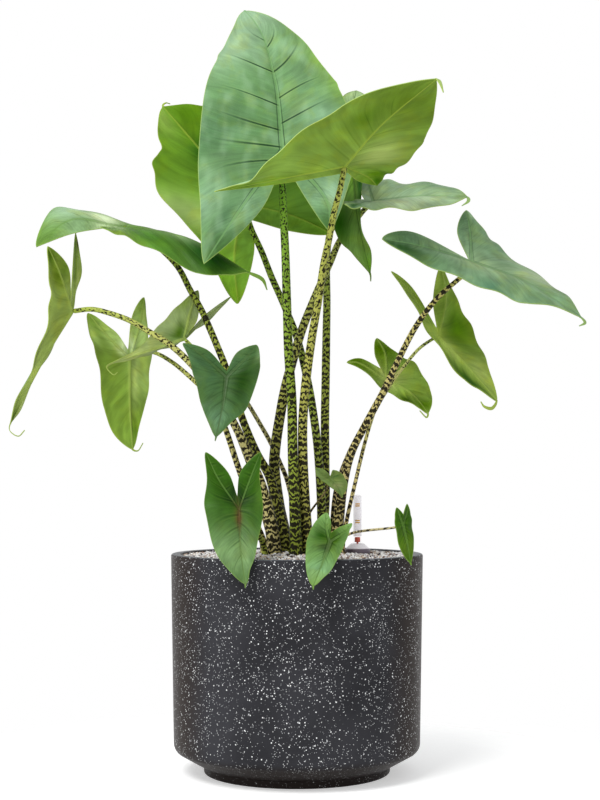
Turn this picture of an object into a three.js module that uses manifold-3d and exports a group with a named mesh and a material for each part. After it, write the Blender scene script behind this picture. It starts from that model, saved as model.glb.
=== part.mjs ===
// A potted zebrina alocasia: arrow-shaped leaves on banded petioles, in a round terrazzo planter
// with a water-level indicator. Millimetres, +Z up, origin at the middle of the planter's foot.
import * as THREE from "three";
import { mergeVertices } from "three/addons/utils/BufferGeometryUtils.js";
import Module from "manifold-3d";

const wasm = await Module();
wasm.setup();

// Planter
const rimHeight = 257;
const rimRadius = 149.5;
const rimWidth = 12;
const rimRound = 2.5;
const bodyFootRadius = 145.5;
const shoulderHeight = 35;
const shoulderRound = 12;
const shoulderSlope = Math.PI / 3.6; // of the chamfer between the foot and the shoulder
const footRadius = 110;
const footHeight = 8;
const footRound = 2.5;
const floorHeight = 16;
const floorRadius = 106;
const innerShoulderHeight = 42;
const planterSides = 36;
const arcSteps = 3;

// Substrate, which ends a little below the rim and rises gently round the petioles
const gap = 0.3; // between pieces that touch
const fillHeight = 254;
const moundHeight = 6;
const moundRadius = 62;
const granuleRelief = 1.5;
const fillRings = 9;

// Rhizome under the petioles
const rhizomeCentre = [5, -8, 205];
const rhizomeSize = [66, 52, 32]; // half axes
const rhizomeSides = [18, 12];
const petioleFootHeight = 212;

// Water-level indicator
const indicatorPlace = [73, 26];
const indicatorSides = 20;
const shaftRadius = 9;
const shaftWall = 1.5;
const shaftBottom = 2;
const slotWidth = 4;
const slotHeight = 12;
const collarRadius = 15.6;
const collarRound = 1.5;
const collarHeight = [255.5, 261];
const coneRadius = 13.5;
const coneEdge = 1;
const coneTop = 270;
const coneLip = 2;
const tubeRadius = 5.1;
const tubeWall = 1;
const tubeRound = 2;
const tubeTop = 326;
const floatRadius = 6.6;
const floatHeight = 40;
const floatSides = 16;
const rodRadius = 1.2;
const markerRadius = 3.4;
const markerHeight = [269, 275];
const clearanceDepth = 3; // how far the substrate's recess reaches below the collar
const clearanceTop = 20; // and above it, past the top of the substrate

// Petioles
const stoutRadius = 3; // from this radius at the foot a petiole is seven-sided
const stoutSides = 7;
const slenderSides = 6;
const ringSpacing = 42;
const flare = 1.6; // how quickly a petiole widens towards its foot

// Leaves
const bladeThickness = 0.9;
const midribRidge = [2.2, 0.4]; // at the joint and at the tip
const lobeRidge = [0.3, 1.5]; // at the lobe tip and at the joint
const ridgeColumn = 0.12; // where the ridge ends, as a share of the half blade's width
const tipHalfWidth = 1.2;
const tailHalfWidth = 0.55;
const tailSteps = 2;
const tailLead = 0.8; // how near the tip the tail takes its first direction from
const bulge = 0.06; // how far a half blade arches, as a share of its width
const bulgeFade = 1.5; // how quickly the arch fades towards the tip
const edgeWave = 2;
const wavesPerSpan = 1.1;
const wavePhase = 0.3;
const waveTaper = 0.7;
const fullWaveWidth = 30; // a half blade narrower than this waves less
const bladeGap = 0.45; // between a petiole and its blade

// Landmarks of the 17 leaves. Each blade has its joint on the petiole, the bottom of the sinus, the
// middle of the midrib, the tip and the drip tail. Each half, seen on the upper face with the tip
// pointing away, has the lobe's tip, its rib, the margin in the cleft, then the outer margin from the
// lobe's flank past the waist beside the joint to the front and the nose. blunt says how full the
// blade's tip is, and round how full the lobes are, outside and in the cleft. radii are the petiole's
// at its foot, half way up and at the joint.
const leaves = {
  crown: {
    radii: [7.4, 5.5, 4.3],
    petiole: [[-1, -40, 265], [-3, -42, 321], [-5, -41, 379], [-6, -37, 438], [-10, -29, 497],
      [-12, -23, 557], [-14, -15, 618], [-17, -9, 679], [-17, -12, 719]],
    joint: [-17, -25, 736], sinus: [-17, -26, 724], middle: [-29, 22, 841],
    tip: [-65, 50, 925], tail: [[-64, 57, 923], [-63, 61, 917]],
    left: { lobe: [-108, -62, 595], rib: [-71, -52, 653], cleft: [-43, -45, 660],
      flank: [-113, -46, 658], waist: [-117, -28, 729], front: [-110, 10, 823],
      nose: [-91, 30, 871] },
    right: { lobe: [39, -38, 636], rib: [33, -38, 677], cleft: [14, -33, 671],
      flank: [57, -38, 679], waist: [71, -35, 746], front: [45, 0, 826], nose: [1, 28, 888] },
    blunt: 0.7, round: [0.35, 0.35],
  },
  canopy: {
    radii: [7.6, 5.3, 3.2],
    petiole: [[12, -27, 267], [9, -31, 321], [7, -35, 368], [7, -40, 414], [11, -46, 463],
      [18, -52, 513], [25, -58, 553], [31, -64, 594], [37, -70, 622], [43, -76, 653],
      [50, -82, 680]],
    joint: [55, -85, 705], sinus: [58, -73, 700], middle: [95, -145, 741],
    tip: [149, -215, 774], tail: [[153, -222, 768], [156, -226, 757]],
    left: { lobe: [96, 2, 698], rib: [82, -30, 704], cleft: [73, -38, 696], flank: [108, -8, 710],
      waist: [125, -40, 715], front: [149, -105, 739], nose: [153, -165, 759] },
    right: { lobe: [-93, -118, 670], rib: [-17, -108, 687], cleft: [-19, -95, 683],
      flank: [-52, -138, 680], waist: [-12, -145, 718], front: [50, -190, 751],
      nose: [105, -212, 768] },
    blunt: 0.2, round: [0.2, 0.2],
  },
  back: {
    radii: [6.5, 4.8, 3.4],
    petiole: [[30, -4, 269], [29, -1, 320], [25, 5, 380], [19, 10, 428], [12, 15, 467],
      [0, 22, 516], [-17, 28, 559], [-31, 31, 591], [-43, 34, 622], [-56, 38, 651]],
    joint: [-67, 50, 685], sinus: [-57, 48, 664], middle: [-117, 54, 748],
    tip: [-166, 50, 805], tail: [[-163, 55, 811], [-158, 60, 811]],
    left: { lobe: [44, 58, 648], rib: [-6, 60, 671], cleft: [-5, 52, 650], flank: [51, 66, 698],
      waist: [19, 74, 762], front: [-65, 78, 805], nose: [-121, 66, 810] },
    right: { lobe: [-72, 36, 559], rib: [-77, 40, 617], cleft: [-53, 44, 621],
      flank: [-115, 36, 632], waist: [-170, 36, 693], front: [-170, 42, 753], nose: [-172, 46, 780] },
    blunt: 0.4, round: [0.5, 0.5],
  },
  shelf: {
    radii: [7.6, 5.9, 3],
    petiole: [[-14, 4, 267], [-22, 5, 314], [-27, 6, 356], [-26, 6, 382], [-21, 5, 416],
      [-13, 4, 458], [4, 3, 518], [20, 5, 560], [31, 10, 586], [41, 18, 609], [52, 28, 635],
      [70, 35, 659], [83, 34, 675]],
    joint: [93, 24, 682], sinus: [83, 14, 683], middle: [151, 18, 688],
    tip: [205, 5, 685], tail: [[206, 1, 679], [198, -2, 673]],
    left: { lobe: [79, 76, 729], rib: [87, 60, 711], cleft: [80, 48, 705], flank: [99, 84, 725],
      waist: [124, 72, 715], front: [173, 50, 709], nose: [196, 24, 697] },
    right: { lobe: [53, -30, 673], rib: [71, -22, 672], cleft: [66, -8, 677],
      flank: [66, -40, 664], waist: [97, -30, 665], front: [147, -26, 665], nose: [181, -10, 673] },
    blunt: 0.2, round: [0.75, 0.75],
  },
  hanging: {
    radii: [6, 5.1, 3.4],
    petiole: [[31, 14, 270], [34, 18, 320], [34, 22, 362], [34, 32, 417], [35, 43, 466],
      [36, 55, 516], [37, 68, 567], [37, 79, 612], [40, 86, 648], [50, 92, 690], [60, 86, 725]],
    joint: [68, 58, 750], sinus: [76, 64, 765], middle: [73, 18, 665],
    tip: [87, -8, 592], tail: [[88, -9, 587], [88, -10, 581]],
    left: { lobe: [112, 82, 806], rib: [105, 71, 778], cleft: [94, 74, 790], flank: [111, 76, 782],
      waist: [86, 60, 741], front: [77, 14, 656], nose: [89, 0, 618] },
    right: { lobe: [74, 78, 832], rib: [69, 72, 801], cleft: [93, 78, 813], flank: [50, 70, 812],
      waist: [31, 42, 731], front: [47, 2, 640], nose: [66, -8, 615] },
    blunt: 0.1, round: [0.75, 0.75],
  },
  left_high: {
    radii: [6.6, 4.4, 3.1],
    petiole: [[-15, -12, 266], [-18, -11, 294], [-25, -10, 320], [-33, -8, 349], [-47, -6, 374],
      [-61, -4, 406], [-73, -1, 440], [-85, 2, 477], [-94, 5, 500], [-113, 9, 544],
      [-129, 15, 573], [-146, 24, 604], [-174, 33, 632], [-196, 28, 645]],
    joint: [-211, 10, 649], sinus: [-218, 5, 649], middle: [-134, -10, 634],
    tip: [-58, -35, 589], tail: [[-41, -40, 580], [-35, -42, 567]],
    left: { lobe: [-309, -25, 620], rib: [-270, -2, 656], cleft: [-266, -14, 638],
      flank: [-292, 20, 675], waist: [-220, 45, 663], front: [-123, 20, 627], nose: [-87, -12, 609] },
    right: { lobe: [-234, -20, 645], rib: [-222, -10, 643], cleft: [-226, -6, 647],
      flank: [-214, -28, 635], waist: [-178, -35, 620], front: [-114, -45, 587],
      nose: [-81, -42, 585] },
    blunt: 0, round: [1, 0],
  },
  right_high: {
    radii: [8.8, 4.3, 2.6],
    petiole: [[46, -4, 266], [50, -5, 303], [56, -7, 344], [65, -9, 377], [81, -12, 409],
      [102, -17, 448], [121, -21, 488], [141, -26, 526], [166, -32, 559], [199, -40, 588]],
    joint: [206, -40, 600], sinus: [202, -38, 603], middle: [266, -62, 574],
    tip: [325, -85, 531], tail: [[329, -90, 524], [322, -92, 520]],
    left: { lobe: [206, 25, 672], rib: [208, 8, 643], cleft: [192, -5, 642], flank: [228, 22, 646],
      waist: [250, 5, 618], front: [298, -28, 576], nose: [316, -58, 556] },
    right: { lobe: [99, -62, 624], rib: [147, -62, 615], cleft: [135, -50, 634],
      flank: [154, -84, 589], waist: [214, -88, 565], front: [263, -92, 546], nose: [296, -92, 542] },
    blunt: 0.2, round: [0.75, 0.75],
  },
  far_left: {
    radii: [5.6, 3.8, 2.6],
    petiole: [[-27, -28, 265], [-34, -30, 307], [-42, -31, 338], [-53, -32, 365], [-70, -34, 403],
      [-89, -35, 437], [-107, -36, 460], [-126, -36, 482], [-149, -35, 503], [-173, -33, 518],
      [-197, -30, 532], [-221, -27, 541], [-243, -25, 546]],
    joint: [-267, -20, 544], sinus: [-268, -22, 560], middle: [-299, -38, 483],
    tip: [-332, -58, 410], tail: [[-332, -60, 401], [-322, -62, 395], [-315, -60, 402]],
    left: { lobe: [-290, -60, 616], rib: [-277, -48, 584], cleft: [-270, -35, 596],
      flank: [-286, -68, 573], waist: [-288, -62, 534], front: [-306, -66, 473],
      nose: [-324, -64, 437] },
    right: { lobe: [-271, 35, 646], rib: [-268, 20, 596], cleft: [-270, 5, 599],
      flank: [-265, 40, 598], waist: [-280, 40, 542], front: [-309, 18, 482],
      nose: [-325, -20, 432] },
    blunt: 0.1, round: [0.6, 0.6],
  },
  left_low: {
    radii: [4.4, 3.5, 2.1],
    petiole: [[-39, -16, 265], [-50, -18, 297], [-61, -20, 335], [-71, -20, 364], [-84, -19, 403],
      [-97, -16, 433], [-110, -7, 450], [-130, 8, 469], [-152, 24, 487], [-174, 35, 499],
      [-192, 38, 498]],
    joint: [-204, 34, 492], sinus: [-206, 35, 502], middle: [-202, 18, 434],
    tip: [-196, -6, 381], tail: [[-189, -8, 379], [-183, -10, 388]],
    left: { lobe: [-252, 10, 545], rib: [-231, 18, 519], cleft: [-224, 24, 529],
      flank: [-249, 6, 518], waist: [-241, 12, 484], front: [-231, 2, 429], nose: [-218, -5, 399] },
    right: { lobe: [-189, 56, 569], rib: [-194, 54, 535], cleft: [-202, 44, 545],
      flank: [-186, 66, 534], waist: [-181, 64, 494], front: [-184, 38, 441], nose: [-190, 14, 408] },
    blunt: 0.5, round: [0.75, 0.75],
  },
  left_inner: {
    radii: [3.8, 2.8, 2.2],
    petiole: [[-32, 6, 266], [-41, 10, 306], [-55, 13, 354], [-71, 10, 397], [-89, 4, 440],
      [-109, -4, 478], [-123, -7, 500]],
    joint: [-135, 0, 513], sinus: [-131, 2, 519], middle: [-178, -5, 498],
    tip: [-218, -12, 484], tail: [[-226, -14, 478], [-218, -16, 469], [-213, -15, 472]],
    left: { lobe: [-120, 24, 574], rib: [-129, 16, 547], cleft: [-120, 14, 539],
      flank: [-142, 20, 557], waist: [-164, 8, 532], front: [-188, -3, 503], nose: [-202, -11, 493] },
    right: { lobe: [-82, 60, 570], rib: [-112, 45, 542], cleft: [-111, 35, 546],
      flank: [-112, 62, 539], waist: [-155, 32, 506], front: [-187, 6, 492], nose: [-203, -6, 486] },
    blunt: 0, round: [0.75, 0.75],
  },
  right_inner: {
    radii: [2.8, 2.3, 2],
    petiole: [[54, -14, 265], [59, -13, 297], [70, -7, 344], [79, 3, 380], [87, 10, 408],
      [95, 12, 432], [102, 8, 451]],
    joint: [108, 28, 465], sinus: [102, 28, 479], middle: [137, 20, 449],
    tip: [157, 6, 424], tail: [[155, 5, 419], [147, 4, 427]],
    left: { lobe: [60, 16, 486], rib: [77, 18, 484], cleft: [77, 22, 491], flank: [80, 14, 476],
      waist: [107, 14, 451], front: [134, 6, 437], nose: [147, 5, 430] },
    right: { lobe: [98, 50, 518], rib: [108, 46, 497], cleft: [95, 40, 498], flank: [123, 56, 500],
      waist: [147, 48, 484], front: [162, 28, 452], nose: [163, 16, 437] },
    blunt: 0.4, round: [0.75, 0.75],
  },
  right_low: {
    radii: [3.4, 2.5, 1.8],
    petiole: [[42, 22, 268], [45, 21, 320], [52, 18, 350], [64, 13, 380], [77, 5, 404],
      [92, -4, 427], [104, -8, 446], [114, -8, 462], [128, -5, 480], [145, 1, 500], [161, 7, 512]],
    joint: [170, 12, 516], sinus: [169, 13, 526], middle: [207, 0, 476],
    tip: [237, -14, 438], tail: [[231, -18, 429], [222, -18, 431], [218, -16, 437]],
    left: { lobe: [113, -2, 594], rib: [137, 2, 567], cleft: [139, 8, 575], flank: [135, -12, 560],
      waist: [161, -15, 513], front: [198, -22, 462], nose: [217, -20, 451] },
    right: { lobe: [177, 50, 607], rib: [182, 40, 564], cleft: [166, 30, 565],
      flank: [197, 56, 567], waist: [216, 48, 527], front: [230, 18, 484], nose: [236, 4, 459] },
    blunt: 0.5, round: [0.75, 0.75],
  },
  shield: {
    radii: [3.2, 2.75, 2.3],
    petiole: [[0, 22, 267], [-2, 25, 296], [-11, 26, 340], [-22, 25, 368], [-33, 20, 391],
      [-46, 8, 414], [-58, -10, 434], [-69, -32, 449], [-77, -52, 457]],
    joint: [-81, -70, 462], sinus: [-81, -69, 470], middle: [-85, -80, 429],
    tip: [-92, -88, 394], tail: [[-93, -90, 389]],
    left: { lobe: [-47, -60, 501], rib: [-58, -66, 486], cleft: [-69, -64, 492],
      flank: [-43, -62, 486], waist: [-44, -66, 467], front: [-57, -78, 428], nose: [-74, -84, 411] },
    right: { lobe: [-131, -72, 502], rib: [-108, -74, 486], cleft: [-103, -70, 494],
      flank: [-125, -76, 487], waist: [-118, -78, 463], front: [-108, -84, 427],
      nose: [-101, -86, 410] },
    blunt: 0.3, round: [0.75, 0.75],
  },
  apron: {
    radii: [3.4, 2.9, 2.4],
    petiole: [[-38, -38, 263], [-48, -72, 287], [-55, -90, 299]],
    joint: [-65, -112, 312], sinus: [-67, -109, 326], middle: [-62, -138, 270],
    tip: [-56, -158, 232], tail: [[-56, -161, 228]],
    left: { lobe: [-41, -100, 376], rib: [-53, -106, 345], cleft: [-63, -104, 355],
      flank: [-42, -106, 347], waist: [-38, -114, 311], front: [-45, -143, 266],
      nose: [-51, -153, 247] },
    right: { lobe: [-103, -104, 376], rib: [-88, -108, 345], cleft: [-78, -106, 354],
      flank: [-101, -110, 345], waist: [-103, -118, 314], front: [-90, -143, 267],
      nose: [-74, -153, 246] },
    blunt: 0.6, round: [0.75, 0.75],
  },
  lip: {
    radii: [2.8, 2.4, 2],
    petiole: [[22, -36, 264], [27, -50, 274], [32, -72, 279], [36, -114, 279]],
    joint: [37, -128, 276], sinus: [38, -121, 286], middle: [28, -156, 254],
    tip: [18, -172, 231], tail: [[18, -174, 227]],
    left: { lobe: [62, -106, 296], rib: [53, -114, 285], cleft: [48, -112, 292],
      flank: [59, -112, 287], waist: [52, -130, 271], front: [39, -158, 249], nose: [29, -167, 239] },
    right: { lobe: [33, -108, 308], rib: [33, -116, 292], cleft: [38, -112, 299],
      flank: [20, -117, 297], waist: [11, -134, 277], front: [10, -160, 252], nose: [12, -167, 240] },
    blunt: 0.5, round: [0.75, 0.75],
  },
  rim_leaf: {
    radii: [1.7, 1.5, 1.3],
    petiole: [[43, -32, 264], [48, -38, 274], [62, -48, 282], [79, -58, 286], [111, -73, 290]],
    joint: [121, -78, 294], sinus: [122, -76, 305], middle: [125, -90, 273],
    tip: [128, -101, 252], tail: [[129, -103, 249]],
    left: { lobe: [127, -62, 317], rib: [127, -66, 308], cleft: [124, -68, 311],
      flank: [130, -64, 310], waist: [132, -68, 295], front: [133, -86, 272], nose: [131, -96, 260] },
    right: { lobe: [114, -76, 313], rib: [117, -78, 305], cleft: [119, -76, 309],
      flank: [112, -80, 306], waist: [112, -84, 293], front: [116, -96, 269],
      nose: [121, -100, 259] },
    blunt: 0.3, round: [0.75, 0.75],
  },
  bud: {
    radii: [1.5, 1.3, 1.1],
    petiole: [[11, -12, 265], [12, -16, 287], [15, -22, 305], [32, -38, 329]],
    joint: [39, -45, 345], sinus: [39, -44, 349], middle: [47, -48, 337],
    tip: [52, -52, 326], tail: [[53, -53, 324]],
    left: { lobe: [42, -42, 356], rib: [43, -42, 351], cleft: [40, -43, 352],
      flank: [49, -41, 354], waist: [55, -42, 348], front: [59, -47, 339], nose: [57, -50, 332] },
    right: { lobe: [22, -46, 358], rib: [30, -47, 351], cleft: [32, -45, 356],
      flank: [23, -50, 350], waist: [30, -50, 343], front: [42, -52, 334], nose: [48, -53, 329] },
    blunt: 0.2, round: [0.75, 0.75],
  },
};

// How finely each blade is divided: rows between two landmarks, and columns across a half
const largeBlade = { rows: 4, columns: [0, ridgeColumn, 0.55, 1], cleftColumns: [0, 0.25, 1] };
const middleBlade = { rows: 4, columns: [0, ridgeColumn, 1], cleftColumns: [0, 1] };
const smallBlade = { rows: 2, columns: [0, ridgeColumn * 2, 1], cleftColumns: [0, 1] };
const detail = {
  crown: largeBlade, canopy: largeBlade, back: largeBlade, left_high: largeBlade,
  right_high: largeBlade, far_left: largeBlade, right_low: largeBlade, hanging: largeBlade,
  lip: smallBlade, rim_leaf: smallBlade, bud: smallBlade,
};

const vec = (p) => new THREE.Vector3(...p);
const lerp = (a, b, t) => a.clone().lerp(b, t);
const between = ([a, b], t) => a + (b - a) * t;
const beyond = (from, to) => to.clone().multiplyScalar(2).sub(from);
const signOf = (side) => (side === "left" ? 1 : -1);

// A geometry as a solid, and a solid as a geometry
function solidOf(geometry) {
  const bare = geometry.clone();
  bare.deleteAttribute("normal");
  bare.deleteAttribute("uv");
  const merged = mergeVertices(bare, 1e-3);
  const triVerts = new Uint32Array(merged.index.array);
  const vertProperties = merged.attributes.position.array;
  return new wasm.Manifold(new wasm.Mesh({ numProp: 3, vertProperties, triVerts }));
}

function geometryOf(solid) {
  const mesh = solid.getMesh();
  return indexed(mesh.vertProperties, mesh.triVerts);
}

function indexed(positions, triangles) {
  const geometry = new THREE.BufferGeometry();
  geometry.setAttribute("position", new THREE.BufferAttribute(new Float32Array(positions), 3));
  geometry.setIndex(new THREE.BufferAttribute(new Uint32Array(triangles), 1));
  geometry.computeVertexNormals();
  return geometry;
}

// The largest body of a solid, without the scraps of a cut
function largest(solid) {
  const bodies = solid.decompose();
  return bodies.reduce((a, b) => (a.volume() > b.volume() ? a : b));
}

// Points of a smooth curve through the landmarks, with steps[i] intervals on span i
function smooth(landmarks, before, after, steps) {
  const p = [before, ...landmarks, after];
  const points = [landmarks[0].clone()];
  for (let i = 1; i < p.length - 2; i++) {
    const leave = p[i + 1].clone().sub(p[i - 1]).multiplyScalar(0.5);
    const arrive = p[i + 2].clone().sub(p[i]).multiplyScalar(0.5);
    for (let k = 1; k <= steps[i - 1]; k++) {
      const t = k / steps[i - 1];
      const point = p[i].clone().multiplyScalar((2 * t - 3) * t * t + 1);
      point.addScaledVector(leave, ((t - 2) * t + 1) * t);
      point.addScaledVector(p[i + 1], (3 - 2 * t) * t * t);
      point.addScaledVector(arrive, (t - 1) * t * t);
      points.push(point);
    }
  }
  return points;
}

// The curves of a half blade. They run from the lobe's tip (row 0) past the joint (row 2n) to the
// tip of the blade (row 4n); the cleft's margin ends at the bottom of the sinus.
function halfCurves(leaf, side, n) {
  const half = leaf[side];
  const other = leaf[side === "left" ? "right" : "left"];
  const [lobe, rib, cleft, flank] = [half.lobe, half.rib, half.cleft, half.flank].map(vec);
  const [waist, front, nose, otherNose] = [half.waist, half.front, half.nose, other.nose].map(vec);
  const [joint, sinus, middle, tip] = [leaf.joint, leaf.sinus, leaf.middle, leaf.tip].map(vec);
  const tipEdge = tip.clone().add(nose.clone().sub(otherNose).setLength(tipHalfWidth));
  const pastTip = lerp(beyond(nose, tipEdge), otherNose, leaf.blunt);
  const pastLobeOutside = lerp(beyond(flank, lobe), cleft, leaf.round[0]);
  const pastLobeInside = lerp(beyond(cleft, lobe), flank, leaf.round[1]);
  const marginMarks = [lobe, flank, waist, front, nose, tipEdge];
  const margin = smooth(marginMarks, pastLobeOutside, pastTip, [n, n, n, n / 2, n / 2]);
  const lobeRib = smooth([lobe, rib, joint], beyond(rib, lobe), beyond(rib, joint), [n, n]);
  const midrib = smooth([joint, middle, tip], beyond(middle, joint), beyond(middle, tip), [n, n]);
  const cleftMargin = smooth([lobe, cleft, sinus], pastLobeInside, beyond(cleft, sinus), [n, n]);
  return { side, spine: [...lobeRib, ...midrib.slice(1)], margin, cleftMargin };
}

// Which way the upper face looks, for each row of a half blade
function rowNormals(leaf, side, n) {
  const half = leaf[side];
  const across = (from, to, inside, outside) => vec(to).sub(vec(from))
    .cross(vec(outside).sub(vec(inside))).normalize().multiplyScalar(signOf(side));
  const shoulder = lerp(vec(half.rib), vec(leaf.joint), 0.5).toArray();
  const faces = [
    across(half.lobe, leaf.joint, half.rib, half.flank),
    across(shoulder, leaf.middle, leaf.joint, half.waist),
    across(leaf.joint, leaf.tip, leaf.middle, half.front),
  ];
  return Array.from({ length: 4 * n + 1 }, (_, i) => {
    const place = Math.min(Math.max(i / n - 1, 0), 2);
    const from = Math.min(Math.floor(place), 1);
    return lerp(faces[from], faces[from + 1], place - from).normalize();
  });
}

// A surface that is put together row by row. Rows share the vertices that have the same key.
// A ridge is how deep the rib below a vertex is.
class Surface {
  points = [];
  ridges = [];
  triangles = [];
  known = new Map();

  vertex(key, point, ridge = 0) {
    if (!this.known.has(key)) {
      this.known.set(key, this.points.length);
      this.points.push(point);
      this.ridges.push(ridge);
    }
    return this.known.get(key);
  }

  quad(a, b, c, d, reversed) {
    for (const corners of [[a, b, c], [a, c, d]]) {
      if (new Set(corners).size < 3) continue;
      this.triangles.push(reversed ? corners.reverse() : corners);
    }
  }

  joinRows(rows, reversed) {
    for (let i = 0; i + 1 < rows.length; i++)
      for (let j = 0; j + 1 < rows[i].length; j++)
        this.quad(rows[i][j], rows[i + 1][j], rows[i + 1][j + 1], rows[i][j + 1], reversed);
  }
}

// The vertex on the rib of a lobe, or on the midrib, which both halves share
function ribVertex(surface, { side, spine }, i, n) {
  if (i === 0) return surface.vertex(side, spine[0], lobeRidge[0]);
  if (i < 2 * n) return surface.vertex([side, i].join(), spine[i], between(lobeRidge, i / (2 * n)));
  return surface.vertex("midrib " + i, spine[i], between(midribRidge, i / (2 * n) - 1));
}

// How far the outer margin of row i rises in waves
function waveRise(i, n, width, side) {
  const ends = i > 0 && i < 4 * n ? Math.sin((Math.PI * i) / (4 * n)) ** waveTaper : 0;
  const turn = (wavesPerSpan * i) / n + wavePhase * signOf(side);
  return edgeWave * ends * Math.min(1, width / fullWaveWidth) * Math.sin(2 * Math.PI * turn);
}

// The vertices from the ribs out to the outer margin
function outerRows(surface, half, normals, { rows: n, columns }) {
  return half.spine.map((rib, i) => {
    const edge = half.margin[i];
    const width = edge.distanceTo(rib);
    const arch = bulge * width * Math.min(1, (4 - i / n) * bulgeFade);
    const wave = waveRise(i, n, width, half.side);
    return columns.map((w, j) => {
      if (i === 0 || j === 0) return ribVertex(surface, half, i, n);
      if (i === 4 * n) return surface.vertex(half.side + " tip", edge);
      const point = lerp(rib, edge, w);
      point.addScaledVector(normals[i], arch * 4 * w * (1 - w) + wave * w * w);
      return surface.vertex([half.side, i, j].join(), point);
    });
  });
}

// The vertices from the lobe's rib in to the cleft's margin. Both halves share the last row.
function cleftRows(surface, half, normals, { rows: n, cleftColumns }) {
  return half.cleftMargin.map((edge, i) => {
    const rib = half.spine[i];
    const arch = bulge * edge.distanceTo(rib) * (1 - (i / (2 * n)) ** 2);
    return cleftColumns.map((v, j) => {
      if (i === 0 || j === 0) return ribVertex(surface, half, i, n);
      const point = lerp(rib, edge, v).addScaledVector(normals[i], arch * 4 * v * (1 - v));
      return surface.vertex(i === 2 * n ? "sinus " + j : [half.side, i, -j].join(), point);
    });
  });
}

// The drip tail: a narrow strip that runs on from the tip of the blade
function addTail(leaf, surface, start) {
  const marks = [leaf.tip, ...leaf.tail].map(vec);
  const steps = leaf.tail.map(() => tailSteps);
  const before = lerp(vec(leaf.middle), marks[0], tailLead);
  const line = smooth(marks, before, beyond(marks.at(-2), marks.at(-1)), steps);
  const across = surface.points[start[2]].clone().sub(surface.points[start[0]]);
  let row = start;
  for (let i = 1; i < line.length; i++) {
    const along = line[Math.min(i + 1, line.length - 1)].clone().sub(line[i - 1]).normalize();
    across.addScaledVector(along, -across.dot(along));
    across.setLength(between([tipHalfWidth, tailHalfWidth], i / (line.length - 1)));
    const next = [-1, 0, 1].map((k) =>
      surface.vertex(["tail", i, k].join(), line[i].clone().addScaledVector(across, k)));
    surface.quad(row[1], next[1], next[0], row[0], false);
    surface.quad(row[1], next[1], next[2], row[2], true);
    row = next;
  }
}

// The blade's middle surface. The front of its triangles is the upper face.
function bladeSurface(leaf, grid) {
  const surface = new Surface();
  for (const side of ["left", "right"]) {
    const half = halfCurves(leaf, side, grid.rows);
    const normals = rowNormals(leaf, side, grid.rows);
    surface.joinRows(outerRows(surface, half, normals, grid), side === "right");
    surface.joinRows(cleftRows(surface, half, normals, grid), side === "left");
  }
  const tip = ["left tip", "midrib " + 4 * grid.rows, "right tip"];
  addTail(leaf, surface, tip.map((key) => surface.known.get(key)));
  return surface;
}

// The open edges of a surface, each with its face on the left
function openEdges(triangles) {
  const edges = new Map();
  for (const corners of triangles)
    corners.forEach((k, j) => edges.set(k + " " + corners[(j + 1) % 3], [k, corners[(j + 1) % 3]]));
  return [...edges.values()].filter(([a, b]) => !edges.has(b + " " + a));
}

// At each point of a surface, the direction square to it, and the one out over its edge
function directions(points, triangles, rim) {
  const normals = points.map(() => new THREE.Vector3());
  const outward = points.map(() => new THREE.Vector3());
  for (const corners of triangles) {
    const [a, b, c] = corners.map((k) => points[k]);
    const normal = b.clone().sub(a).cross(c.clone().sub(a));
    corners.forEach((k) => normals[k].add(normal));
  }
  normals.forEach((normal) => normal.normalize());
  for (const [a, b] of rim) {
    const along = points[b].clone().sub(points[a]).normalize();
    for (const k of [a, b]) outward[k].add(along.clone().cross(normals[k]));
  }
  outward.forEach((direction) => direction.normalize());
  return { normals, outward };
}

// A surface given its thickness. grow adds to it all round, for the clearance cut into a petiole.
function thicken({ points, ridges, triangles }, grow = 0) {
  const rim = openEdges(triangles);
  const { normals, outward } = directions(points, triangles, rim);
  const half = bladeThickness / 2 + grow;
  const place = (k, height) => points[k].clone().addScaledVector(normals[k], height)
    .addScaledVector(outward[k], grow).toArray();
  const count = points.length;
  const top = points.map((_, k) => place(k, half));
  const bottom = points.map((_, k) => place(k, -half - ridges[k]));
  const faces = triangles.flatMap(([a, b, c]) => [a, b, c, count + a, count + c, count + b]);
  const walls = rim.flatMap(([a, b]) => [a, count + a, count + b, a, count + b, b]);
  return indexed([...top, ...bottom].flat(), [...faces, ...walls]);
}

// The petiole's centre line, from inside the rhizome up to the joint
function petioleLine(leaf) {
  const [x, y] = leaf.petiole[0];
  const marks = [[x, y, petioleFootHeight], ...leaf.petiole, leaf.joint].map(vec);
  return new THREE.CatmullRomCurve3(marks, false, "catmullrom");
}

// A petiole's radius at a share of its length: it flares to the foot and tapers evenly to the joint
function petioleRadius([foot, middle, joint], share) {
  const below = Math.max(0, 1 - 2 * share) ** flare;
  const above = Math.max(0, 2 * share - 1);
  return middle + (foot - middle) * below + (joint - middle) * above;
}

// A tapering stalk along a curve, with rings square to it
function stalk(curve, radii, grow = 0) {
  const sides = radii[0] > stoutRadius ? stoutSides : slenderSides;
  const rings = Math.ceil(curve.getLength() / ringSpacing) + 1;
  const { normals, binormals } = curve.computeFrenetFrames(rings, false);
  const positions = [];
  const triangles = [];
  for (let i = 0; i <= rings; i++) {
    const centre = curve.getPointAt(i / rings);
    const radius = petioleRadius(radii, i / rings) + grow;
    for (let k = 0; k < sides; k++) {
      const angle = (2 * Math.PI * k) / sides;
      const point = centre.clone().addScaledVector(normals[i], radius * Math.cos(angle));
      positions.push(...point.addScaledVector(binormals[i], radius * Math.sin(angle)));
      const [a, b] = [i * sides + k, i * sides + ((k + 1) % sides)];
      if (i < rings) triangles.push(a, b, b + sides, a, b + sides, a + sides);
    }
  }
  for (let k = 1; k + 1 < sides; k++) {
    const top = rings * sides;
    triangles.push(0, k + 1, k, top, top + k, top + k + 1);
  }
  return indexed(positions, triangles);
}

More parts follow.
